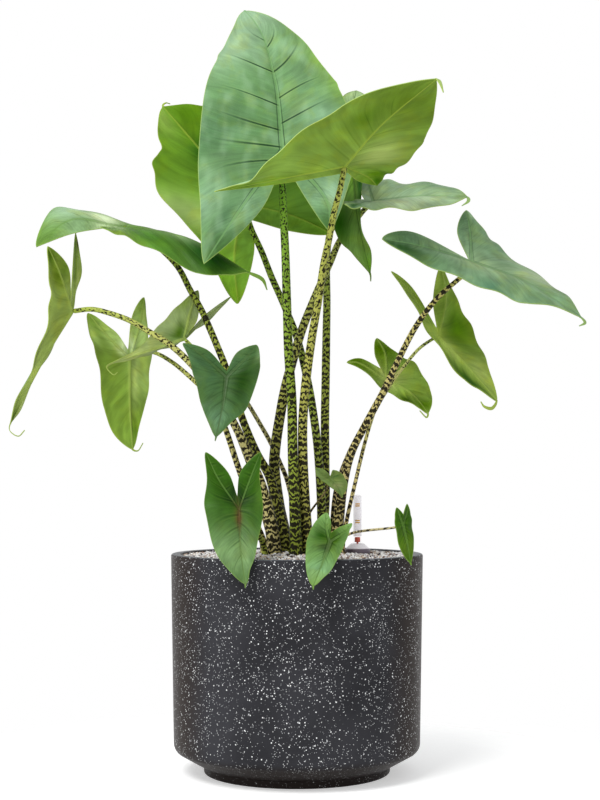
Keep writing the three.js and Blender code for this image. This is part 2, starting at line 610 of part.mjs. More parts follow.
// A body of revolution whose profile runs from the axis or closes on itself, seen anticlockwise
function turned(profile, sides = planterSides) {
  return new THREE.LatheGeometry(profile.map((p) => new THREE.Vector2(...p)), sides)
    .rotateX(Math.PI / 2);
}

// Points of an arc in a profile, anticlockwise
function arc([x, z], radius, from, to) {
  return Array.from({ length: arcSteps + 1 }, (_, k) => {
    const angle = between([from, to], k / arcSteps);
    return [x + radius * Math.cos(angle), z + radius * Math.sin(angle)];
  });
}

// The planter's wall inside, from the floor's middle to the top of the substrate
const quarter = Math.PI / 2;
const innerRadius = rimRadius - rimWidth;
const innerWall = [
  [0, floorHeight],
  [floorRadius, floorHeight],
  [bodyFootRadius - rimWidth, innerShoulderHeight],
  [innerRadius, fillHeight],
];

function planter() {
  const rimArc = rimHeight - rimRound;
  return turned([
    [0, 0],
    ...arc([footRadius - footRound, footRound], footRound, -quarter, 0),
    [footRadius, footHeight],
    ...arc([bodyFootRadius - shoulderRound, shoulderHeight], shoulderRound, -shoulderSlope, 0),
    ...arc([rimRadius - rimRound, rimArc], rimRound, 0, quarter),
    ...arc([innerRadius + rimRound, rimArc], rimRound, quarter, 2 * quarter),
    ...innerWall.toReversed(),
  ]);
}

// A repeatable draw between 0 and 1 for a place on the surface
const scramble = [127.1, 311.7, 43758.5453];
function chance(a, b) {
  const value = Math.sin(a * scramble[0] + b * scramble[1]) * scramble[2];
  return value - Math.floor(value);
}

// How far a point of the substrate's top stands above its level
function fillRise(x, y) {
  const radius = Math.hypot(x, y);
  const mound = moundHeight * Math.exp(-((radius / moundRadius) ** 2));
  const side = Math.round((Math.atan2(y, x) * planterSides) / (2 * Math.PI));
  const ring = Math.round(radius);
  const grain = ring === 0 ? 0 : chance(ring, (side + planterSides) % planterSides) - 0.5;
  return mound + 2 * granuleRelief * grain;
}

function fill() {
  const wall = innerWall.slice(0, -1).map(([r, z]) => [Math.max(r - gap, 0), z + gap]);
  const edge = innerRadius - gap;
  const rings = Array.from({ length: fillRings + 1 }, (_, i) => [edge * (1 - i / fillRings), fillHeight]);
  const body = turned([...wall, ...rings]);
  const at = body.attributes.position;
  for (let i = 0; i < at.count; i++)
    if (Math.abs(at.getZ(i) - fillHeight) < 0.01)
      at.setZ(i, fillHeight + fillRise(at.getX(i), at.getY(i)));
  return body;
}

function rhizome(grow = 0) {
  const body = new THREE.SphereGeometry(1, ...rhizomeSides).rotateX(quarter);
  return body.scale(...rhizomeSize.map((size) => size + grow)).translate(...rhizomeCentre);
}

const shaftFoot = floorHeight + gap;
const shaftFloor = shaftFoot + shaftBottom;

// The shaft that stands on the floor, with its collar on the substrate and two water slots
function indicatorBody() {
  const [low, high] = collarHeight;
  const bore = shaftRadius - shaftWall;
  const tube = turned([
    [0, shaftFoot],
    [shaftRadius, shaftFoot],
    [shaftRadius, low],
    [collarRadius, low],
    [collarRadius, high - collarRound],
    [collarRadius - collarRound, high],
    [bore, high],
    [bore, shaftFloor],
    [0, shaftFloor],
  ], indicatorSides);
  const slot = new THREE.BoxGeometry(4 * shaftRadius, slotWidth, slotHeight);
  slot.translate(0, 0, shaftFloor + slotHeight / 2);
  return geometryOf(solidOf(tube).subtract(solidOf(slot))).translate(...indicatorPlace, 0);
}

// The space that the shaft and its collar need in the substrate
function indicatorRecess() {
  const foot = shaftFoot - gap;
  const low = collarHeight[0] - clearanceDepth;
  const high = collarHeight[1] + clearanceTop;
  return turned([
    [0, foot],
    [shaftRadius + gap, foot],
    [shaftRadius + gap, low],
    [collarRadius + gap, low],
    [collarRadius + gap, high],
    [0, high],
  ], indicatorSides).translate(...indicatorPlace, 0);
}

function indicatorTube() {
  const foot = collarHeight[1] + gap;
  const inside = tubeRadius - tubeWall;
  return turned([
    [coneRadius - coneLip, foot],
    [coneRadius, foot],
    [coneRadius, foot + coneEdge],
    [tubeRadius, coneTop],
    [tubeRadius, tubeTop - tubeRound],
    [tubeRadius - tubeRound, tubeTop],
    [0, tubeTop],
    [0, tubeTop - tubeWall],
    [inside, tubeTop - tubeWall - tubeRound],
    [inside, coneTop - tubeWall],
    [coneRadius - coneLip, foot],
  ], indicatorSides).translate(...indicatorPlace, 0);
}

function indicatorFloat() {
  const foot = shaftFloor + gap;
  const [low, high] = markerHeight;
  return turned([
    [0, foot],
    [floatRadius, foot],
    [floatRadius, foot + floatHeight],
    [rodRadius, foot + floatHeight],
    [rodRadius, low],
    [markerRadius, low],
    [markerRadius, high],
    [0, high],
  ], floatSides).translate(...indicatorPlace, 0);
}

const plant = new THREE.Group();
function add(name, geometry, color, roughness) {
  const mesh = new THREE.Mesh(geometry, new THREE.MeshStandardMaterial({ color, roughness, metalness: 0 }));
  mesh.name = name;
  plant.add(mesh);
}

const upperGreens = {
  crown: "#7d9a6c", canopy: "#8f9a3c", back: "#9aa82e", shelf: "#6f8a5c", hanging: "#3c5a26",
  left_high: "#5d7a3a", right_high: "#6e8870", far_left: "#6a7a30", left_low: "#5d7526",
  left_inner: "#66802c", right_inner: "#5e7a28", right_low: "#5f7c2c", shield: "#3f5f2a",
  apron: "#5f7a3a", lip: "#63803a", rim_leaf: "#6c8c3c", bud: "#3c4f24",
};

const rhizomeClearance = solidOf(rhizome(gap));
let substrate = solidOf(fill()).subtract(rhizomeClearance).subtract(solidOf(indicatorRecess()));
for (const [name, leaf] of Object.entries(leaves)) {
  const surface = bladeSurface(leaf, detail[name] ?? middleBlade);
  const line = petioleLine(leaf);
  const petiole = solidOf(stalk(line, leaf.radii))
    .subtract(solidOf(thicken(surface, bladeGap)))
    .subtract(rhizomeClearance);
  add(name + "_blade", thicken(surface), upperGreens[name], 0.45);
  add(name + "_petiole", geometryOf(largest(petiole)), "#a8ac6e", 0.6);
  substrate = substrate.subtract(solidOf(stalk(line, leaf.radii, gap)));
}

add("planter", planter(), "#38393d", 0.75);
add("substrate", geometryOf(largest(substrate)), "#a39a8c", 0.95);
add("rhizome", rhizome(), "#6a4a32", 0.9);
add("indicator_shaft", indicatorBody(), "#1d1e20", 0.5);
add("indicator_tube", indicatorTube(), "#dfe6e4", 0.1);
add("indicator_float", indicatorFloat(), "#c8321f", 0.5);

export default plant;
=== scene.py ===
"""A potted zebrina alocasia: arrow-shaped leaves on banded petioles, granules in a round terrazzo
planter, and a water-level indicator.

Lengths are in millimetres until a mesh is made. The planter stands on z = 0 with its axis at the
origin, and the camera looks along +y. On a blade, u runs from 0 at a lobe's tip past the joint at 2
to 4 at the blade's tip, and w from 0 on the spine to 1 on the margin.
"""

import itertools
import math

import bpy
import numpy as np
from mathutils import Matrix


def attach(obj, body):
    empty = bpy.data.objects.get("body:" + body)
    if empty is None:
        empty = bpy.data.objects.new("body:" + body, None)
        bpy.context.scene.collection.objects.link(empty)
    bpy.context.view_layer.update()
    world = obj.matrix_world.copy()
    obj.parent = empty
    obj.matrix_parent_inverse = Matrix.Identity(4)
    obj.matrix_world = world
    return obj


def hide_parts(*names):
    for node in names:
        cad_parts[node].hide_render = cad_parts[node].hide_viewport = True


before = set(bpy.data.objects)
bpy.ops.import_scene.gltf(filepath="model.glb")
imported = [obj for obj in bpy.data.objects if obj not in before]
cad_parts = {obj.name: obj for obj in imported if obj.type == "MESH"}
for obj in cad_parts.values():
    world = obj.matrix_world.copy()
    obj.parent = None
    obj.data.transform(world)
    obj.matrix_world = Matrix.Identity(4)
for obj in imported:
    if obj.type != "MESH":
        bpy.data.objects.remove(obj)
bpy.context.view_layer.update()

MM = 0.001

# Planter and substrate, as in the solids
RIM_HEIGHT = 257
RIM_RADIUS = 149.5
RIM_WIDTH = 12
RIM_ROUND = 2.5
BODY_FOOT_RADIUS = 145.5
SHOULDER_HEIGHT = 35
SHOULDER_ROUND = 12
SHOULDER_SLOPE = math.pi / 3.6
FOOT_RADIUS = 110
FOOT_HEIGHT = 8
FOOT_ROUND = 2.5
FLOOR_HEIGHT = 16
FLOOR_RADIUS = 106
INNER_SHOULDER_HEIGHT = 42
GAP = 0.3
FILL_HEIGHT = 254
MOUND_HEIGHT = 6
MOUND_RADIUS = 62
PETIOLE_FOOT_HEIGHT = 212
FLARE = 1.6

# Water-level indicator, as in the solids
INDICATOR_PLACE = (73, 26)
SHAFT_RADIUS = 9
SHAFT_WALL = 1.5
COLLAR_RADIUS = 15.6
COLLAR_HEIGHT = (255.5, 261)
CONE_RADIUS = 13.5
CONE_TOP = 270
TUBE_RADIUS = 5.1
TUBE_WALL = 1
TUBE_TOP = 326
FLOAT_RADIUS = 6.6
FLOAT_HEIGHT = 40
ROD_RADIUS = 1.2
MARKER_RADIUS = 3.4
MARKER_HEIGHT = (269, 275)

# Blades, as in the solids
BLADE_THICKNESS = 0.9
MIDRIB_RIDGE = (2.2, 0.4)  # at the joint and at the tip
LOBE_RIDGE = (0.3, 1.5)  # at the lobe's tip and at the joint
TIP_HALF_WIDTH = 1.2
TAIL_HALF_WIDTH = 0.55
TAIL_LEAD = 0.8  # how near the tip the tail takes its first direction from
BULGE = 0.06  # of a half's width
BULGE_FADE = 1.5
EDGE_WAVE = 2
WAVES_PER_SPAN = 1.1
WAVE_PHASE = 0.3
WAVE_TAPER = 0.7
FULL_WAVE_WIDTH = 30

# Blade detail that the solids leave out
RIDGE_WIDTH = 1.5
QUILT = 0.8  # how far a field swells between two veins, at full size
QUILT_PITCH = 18  # from this distance between two veins
VEIN_SLANT = 0.5  # how many rows a vein climbs on its way to the margin
SLANT_TURN = 1.92  # the row where the slant changes its direction
SLANT_REACH = 0.6
CLEFT_VEIN_SHARE = 0.4  # of the slant, turned the other way in the cleft
COLUMNS = {"outer": 20, "cleft": 8}
CROWDING = {"outer": 1.5, "cleft": 1.3}  # how much closer the columns lie towards the spine
TAIL_STEPS = 6
TAIL_EDGE = 0.6  # from the tail to its margin, as the material sees it
LARGE_ROWS = 44
SMALL_ROWS = 24
LARGE = ("crown", "canopy", "back", "shelf", "hanging", "left_high", "right_high", "far_left",
         "right_low", "left_low")
SIGNS = {"left": 1, "right": -1}  # of a place across the blade

# The ribs' widths at the lobe's tip, at the joint unless the look gives another, and at the tip
LOBE_RIB = 0.8
MIDRIB = 2.2
TIP_RIB = 0.7
LOBE_END = (1.6, 1.85)  # the rows over which the lobes' veins turn into the blade's
CENTRE_ROWS = (1.6, 1.9, 2.3, 3.0)  # where the ribs may have another colour, and how much of it
CENTRE_SHARES = (0, 1, 1, 0.3)
SHOWN = (1.0, 0.6, 0.6)  # how clear the lateral veins, the ribs and the edge line are, if not said

# The rows where the lateral veins leave the spine, on each half
VEINS = {"left": [0.4, 0.85, 1.3, 1.7, 2.05, 2.35, 2.7, 3.1, 3.55],
         "right": [0.45, 0.9, 1.35, 1.75, 2.15, 2.45, 2.8, 3.2, 3.6]}
veins = {
    "crown": {"left": [0.5, 1.0, 1.5, 1.84, 2.03, 2.24, 2.55, 3.0, 3.5],
              "right": [0.5, 1.0, 1.5, 1.95, 2.32, 2.64, 3.0, 3.38, 3.7]},
}

# Where the midrib of a blade is heading beyond its tip, if not straight on
BOWS = {"crown": np.array([-189.0, 78, 1009])}

# How much wider a drip tail is a third of the way along, in millimetres
TAIL_SWELLS = {"left_high": 2.6, "canopy": 2, "shelf": 1.2, "right_high": 1.2, "right_low": 1.2}

# Small turns of a margin that the solids leave out: row, reach in rows, and millimetres outwards
FRILLS = {
    ("crown", "right"): [(3.75, 0.17, 3.5), (3.2, 0.17, -4.2), (2.96, 0.07, 2)],
    ("crown", "left"): [(3.76, 0.12, -2), (3.43, 0.06, 2.5)],
    ("canopy", "left"): [(2.66, 0.15, 4), (3.05, 0.12, -2)],
    ("back", "right"): [(3.0, 0.12, -3.5), (2.62, 0.14, 6), (1.6, 0.3, -5.5), (0.4, 0.4, 4)],
    ("back", "left"): [(3.66, 0.15, 2.5)],
    ("left_high", "left"): [(1.5, 0.9, -2.5), (3.1, 0.5, -2.5)],
    ("left_high", "right"): [(1.2, 0.4, -4), (2.7, 0.5, 2.5)],
    ("right_high", "right"): [(2.4, 0.4, 2.2)],
    ("right_high", "left"): [(3.1, 0.3, 2)],
    ("left_low", "left"): [(1.9, 0.7, -2)],
    ("left_low", "left cleft"): [(0.84, 0.4, -2.5)],
    ("shelf", "left cleft"): [(1.5, 0.5, 5)],
    ("shelf", "right cleft"): [(1.5, 0.5, 5)],
}

# The ribs' usual colour in each material slot
RIB_TINTS = {
    "leaf_silver": (108, 150, 92),
    "leaf_sunlit": (158, 178, 66),
    "leaf_green": (96, 132, 60),
    "leaf_olive": (150, 170, 80),
    "leaf_dark": (66, 92, 46),
}

# How each blade looks. upper and under give a face's ground colour, then soft spots of others as
# # (row, place across from -1 at the right margin to 1 at the left, reach along, reach across, colour).
# # Many spots are painted light and shade: pale patches of sheen and highlight, and darker patches
# # where a flank or lobe lies in shade. The others are the blade's own colour.
# shown says how clear the lateral veins, the ribs and the edge line are, rib how broad the ribs are,
# lobes how clear the veins of the lobes are, and rib_tint is the ribs' colour round the joint.
UNDER = [(112, 142, 62)]
looks = {
    "crown": dict(slot="leaf_silver", rib=2.6, lobes=0.1, under=UNDER, upper=[
        (95, 134, 84), (1.0, -0.5, 0.4, 0.5, (148, 184, 148)), (0.3, 0.2, 0.45, 0.6, (64, 102, 48)),
        (1.2, 0.9, 0.35, 0.3, (124, 162, 122)), (0.9, 0.3, 0.35, 0.22, (80, 118, 78)),
        (2.3, 0.9, 0.35, 0.5, (74, 115, 70)), (2.3, -0.7, 0.4, 0.4, (112, 148, 112)),
        (3.0, -1.0, 0.5, 0.25, (120, 158, 78)), (3.55, 0.7, 0.4, 0.7, (140, 172, 136)),
        (3.9, 0, 0.25, 2, (136, 168, 132))]),
    "canopy": dict(slot="leaf_sunlit", shown=(0.7, 0.5, 0.3), rib=1.6, upper=[(160, 198, 150)], under=[
        (122, 154, 58), (0.4, 0.5, 0.45, 0.6, (60, 110, 2)), (1.0, 0.5, 0.3, 0.6, (102, 145, 16)),
        (2.2, 0.5, 0.4, 0.4, (172, 192, 106)), (3.5, 0, 0.4, 2, (100, 130, 34)),
        (2.9, -0.35, 0.3, 0.25, (86, 120, 24)), (1.6, -0.5, 0.7, 0.5, (136, 170, 72))]),
    "back": dict(slot="leaf_sunlit", shown=(0.4, 0.4, 0.4), upper=[(96, 138, 70)], under=[
        (102, 144, 40), (0.4, -0.5, 0.6, 0.7, (124, 172, 48)), (1.3, 0.35, 0.9, 0.4, (130, 180, 72)),
        (1.7, -0.8, 0.4, 0.5, (152, 180, 102)), (2.9, 0.1, 0.4, 0.45, (8, 78, 2)),
        (3.7, -0.7, 0.35, 0.5, (132, 166, 70)), (3.6, 0.6, 0.3, 0.6, (92, 136, 22))]),
    "shelf": dict(slot="leaf_silver", shown=(0.15, 0.5, 0.6), under=UNDER, upper=[
        (145, 174, 132), (1.0, -0.6, 0.5, 0.6, (6, 66, 2)), (2.6, -0.7, 0.6, 0.5, (218, 240, 194)),
        (3.0, 0.8, 0.8, 0.4, (116, 148, 108)), (3.9, 0, 0.2, 2, (120, 144, 88)),
        (3.4, -0.9, 0.3, 0.3, (148, 172, 130))]),
    "hanging": dict(slot="leaf_dark", shown=(0.6, 0.6, 0.6), under=UNDER, upper=[
        (106, 142, 68), (0.3, -0.4, 0.6, 1.2, (174, 202, 148)), (2.3, 0.7, 0.4, 0.4, (6, 94, 2)),
        (2.3, 0, 0.4, 0.3, (134, 188, 62)), (2.9, -0.8, 0.35, 0.5, (38, 90, 4)),
        (3.9, 0.4, 0.3, 0.9, (94, 142, 28))]),
    "left_high": dict(slot="leaf_green", shown=(0.3, 0.5, 0.6), under=[(150, 170, 96)], upper=[
        (95, 134, 50), (1.1, 0.6, 0.45, 0.7, (152, 184, 146)), (1.7, 0.35, 0.25, 0.4, (226, 244, 198)),
        (2.3, -0.5, 0.4, 0.6, (80, 130, 42)), (3.3, -0.4, 0.7, 0.9, (10, 64, 2)),
        (2.9, 0.1, 0.3, 0.25, (144, 176, 122)), (1.0, -0.8, 0.5, 0.35, (116, 144, 50))]),
    "right_high": dict(slot="leaf_silver", shown=(0.2, 0.5, 0.6), under=UNDER, upper=[
        (114, 148, 108), (0.5, -0.6, 0.6, 0.7, (40, 78, 32)), (0.2, 0.8, 0.3, 0.4, (146, 184, 160)),
        (2.1, -0.1, 0.5, 0.4, (164, 196, 148)), (2.2, -0.95, 0.35, 0.3, (80, 118, 90)),
        (2.9, 0.7, 0.35, 0.6, (166, 188, 142))]),
    "far_left": dict(slot="leaf_olive", shown=(0.6, 0.6, 0.6), rib=2.0, upper=[(98, 134, 70)], under=[
        (146, 168, 82), (0.3, 0.4, 0.5, 0.8, (68, 104, 2)), (1.0, 0.2, 0.4, 0.5, (96, 124, 28)),
        (3.3, -0.1, 0.5, 0.5, (176, 198, 108)), (3.0, 0.9, 0.5, 0.25, (94, 112, 46)),
        (3.9, 0.3, 0.2, 1, (76, 104, 8)), (0.3, -0.8, 0.16, 0.5, (60, 52, 24))]),
    "left_low": dict(slot="leaf_olive", shown=(0.5, 0.5, 0.5), upper=[(98, 136, 60)], under=[
        (116, 146, 55), (1.3, -0.5, 0.7, 0.55, (224, 254, 154)), (2.4, -0.35, 0.5, 0.25, (196, 220, 126)),
        (2.4, -0.8, 0.5, 0.3, (160, 190, 104)), (1.0, 0.8, 0.4, 0.3, (168, 198, 108)),
        (3.6, -0.5, 0.3, 0.6, (98, 132, 38)), (1.7, 0, 0.2, 0.15, (208, 230, 172))]),
    "left_inner": dict(slot="leaf_olive", shown=(0.5, 0.5, 0.5), upper=[(92, 126, 52)], under=[
        (132, 150, 98), (1.9, 0.25, 0.5, 0.3, (60, 92, 2)), (3.3, 0, 0.55, 2, (168, 184, 108)),
        (0.8, 0.8, 0.4, 0.5, (136, 160, 80))]),
    "right_inner": dict(slot="leaf_olive", shown=(0.5, 0.5, 0.5), upper=[(84, 118, 46)], under=[
        (126, 155, 64), (0.7, 0, 0.7, 2, (76, 108, 2)), (2.1, 0.1, 0.35, 0.6, (160, 176, 100)),
        (3.6, 0, 0.3, 2, (84, 118, 8)), (2.9, 0.8, 0.4, 0.3, (72, 102, 2))]),
    "right_low": dict(slot="leaf_olive", shown=(0.5, 0.5, 0.5), upper=[(86, 120, 48)], under=[
        (139, 164, 70), (1.8, -0.6, 0.9, 0.6, (84, 124, 8)), (2.3, 0.1, 0.35, 0.3, (192, 212, 112)),
        (2.0, 0.4, 0.4, 0.3, (156, 182, 80)), (3.1, 0.7, 0.8, 0.5, (36, 78, 2)),
        (3.1, -0.5, 0.5, 0.5, (146, 164, 86))]),
    "shield": dict(slot="leaf_dark", shown=(0.4, 0.6, 0.5), rib_tint=(74, 92, 62), under=UNDER, upper=[
        (68, 102, 54), (1.4, -0.5, 1.2, 0.6, (60, 94, 58)), (2.2, 0.5, 0.9, 0.4, (28, 64, 4)),
        (3.5, -0.3, 0.45, 0.8, (96, 134, 96)), (0.8, 0.9, 0.5, 0.3, (104, 138, 90))]),
    "apron": dict(slot="leaf_green", shown=(0.5, 0.5, 0.3), rib=1.5, under=UNDER, upper=[
        (45, 86, 7), (1.7, 0, 0.3, 0.5, (20, 53, 2)), (1.6, 0.9, 0.5, 0.25, (70, 108, 32)),
        (1.7, -0.9, 0.4, 0.25, (60, 102, 30)), (3.2, 0, 0.7, 2, (112, 144, 92)),
        (3.95, 0, 0.15, 2, (94, 124, 70)), (2.25, 0, 0.25, 0.12, (96, 72, 38))], rib_tint=(78, 62, 36)),
    "lip": dict(slot="leaf_green", shown=(0.5, 0.7, 0.3), rib_tint=(80, 100, 58), under=UNDER, upper=[
        (102, 140, 72), (1.7, -0.35, 0.45, 0.5, (38, 80, 7)), (1.9, 0.2, 0.4, 0.4, (52, 90, 4)),
        (2.3, -0.2, 0.2, 0.4, (56, 82, 42)), (3.3, 0, 0.5, 2, (120, 162, 110)),
        (0.3, 0, 0.4, 2, (124, 166, 94))]),
    "rim_leaf": dict(slot="leaf_green", shown=(0.5, 0.4, 0.5), under=UNDER, upper=[
        (50, 91, 2), (3.2, 0, 0.6, 2, (78, 108, 22)), (2.3, -0.7, 0.3, 0.5, (58, 92, 24))]),
    "bud": dict(slot="leaf_dark", shown=(0.3, 0.3, 0.5), under=UNDER, upper=[
        (102, 124, 67), (2.9, -0.1, 0.3, 0.6, (128, 136, 86)), (1.7, 0.4, 0.3, 0.4, (62, 92, 42))]),
}


def half(lobe, rib, cleft, flank, waist, front, nose):
    """The landmarks of a half blade."""
    return dict(lobe=lobe, rib=rib, cleft=cleft, flank=flank, waist=waist, front=front, nose=nose)


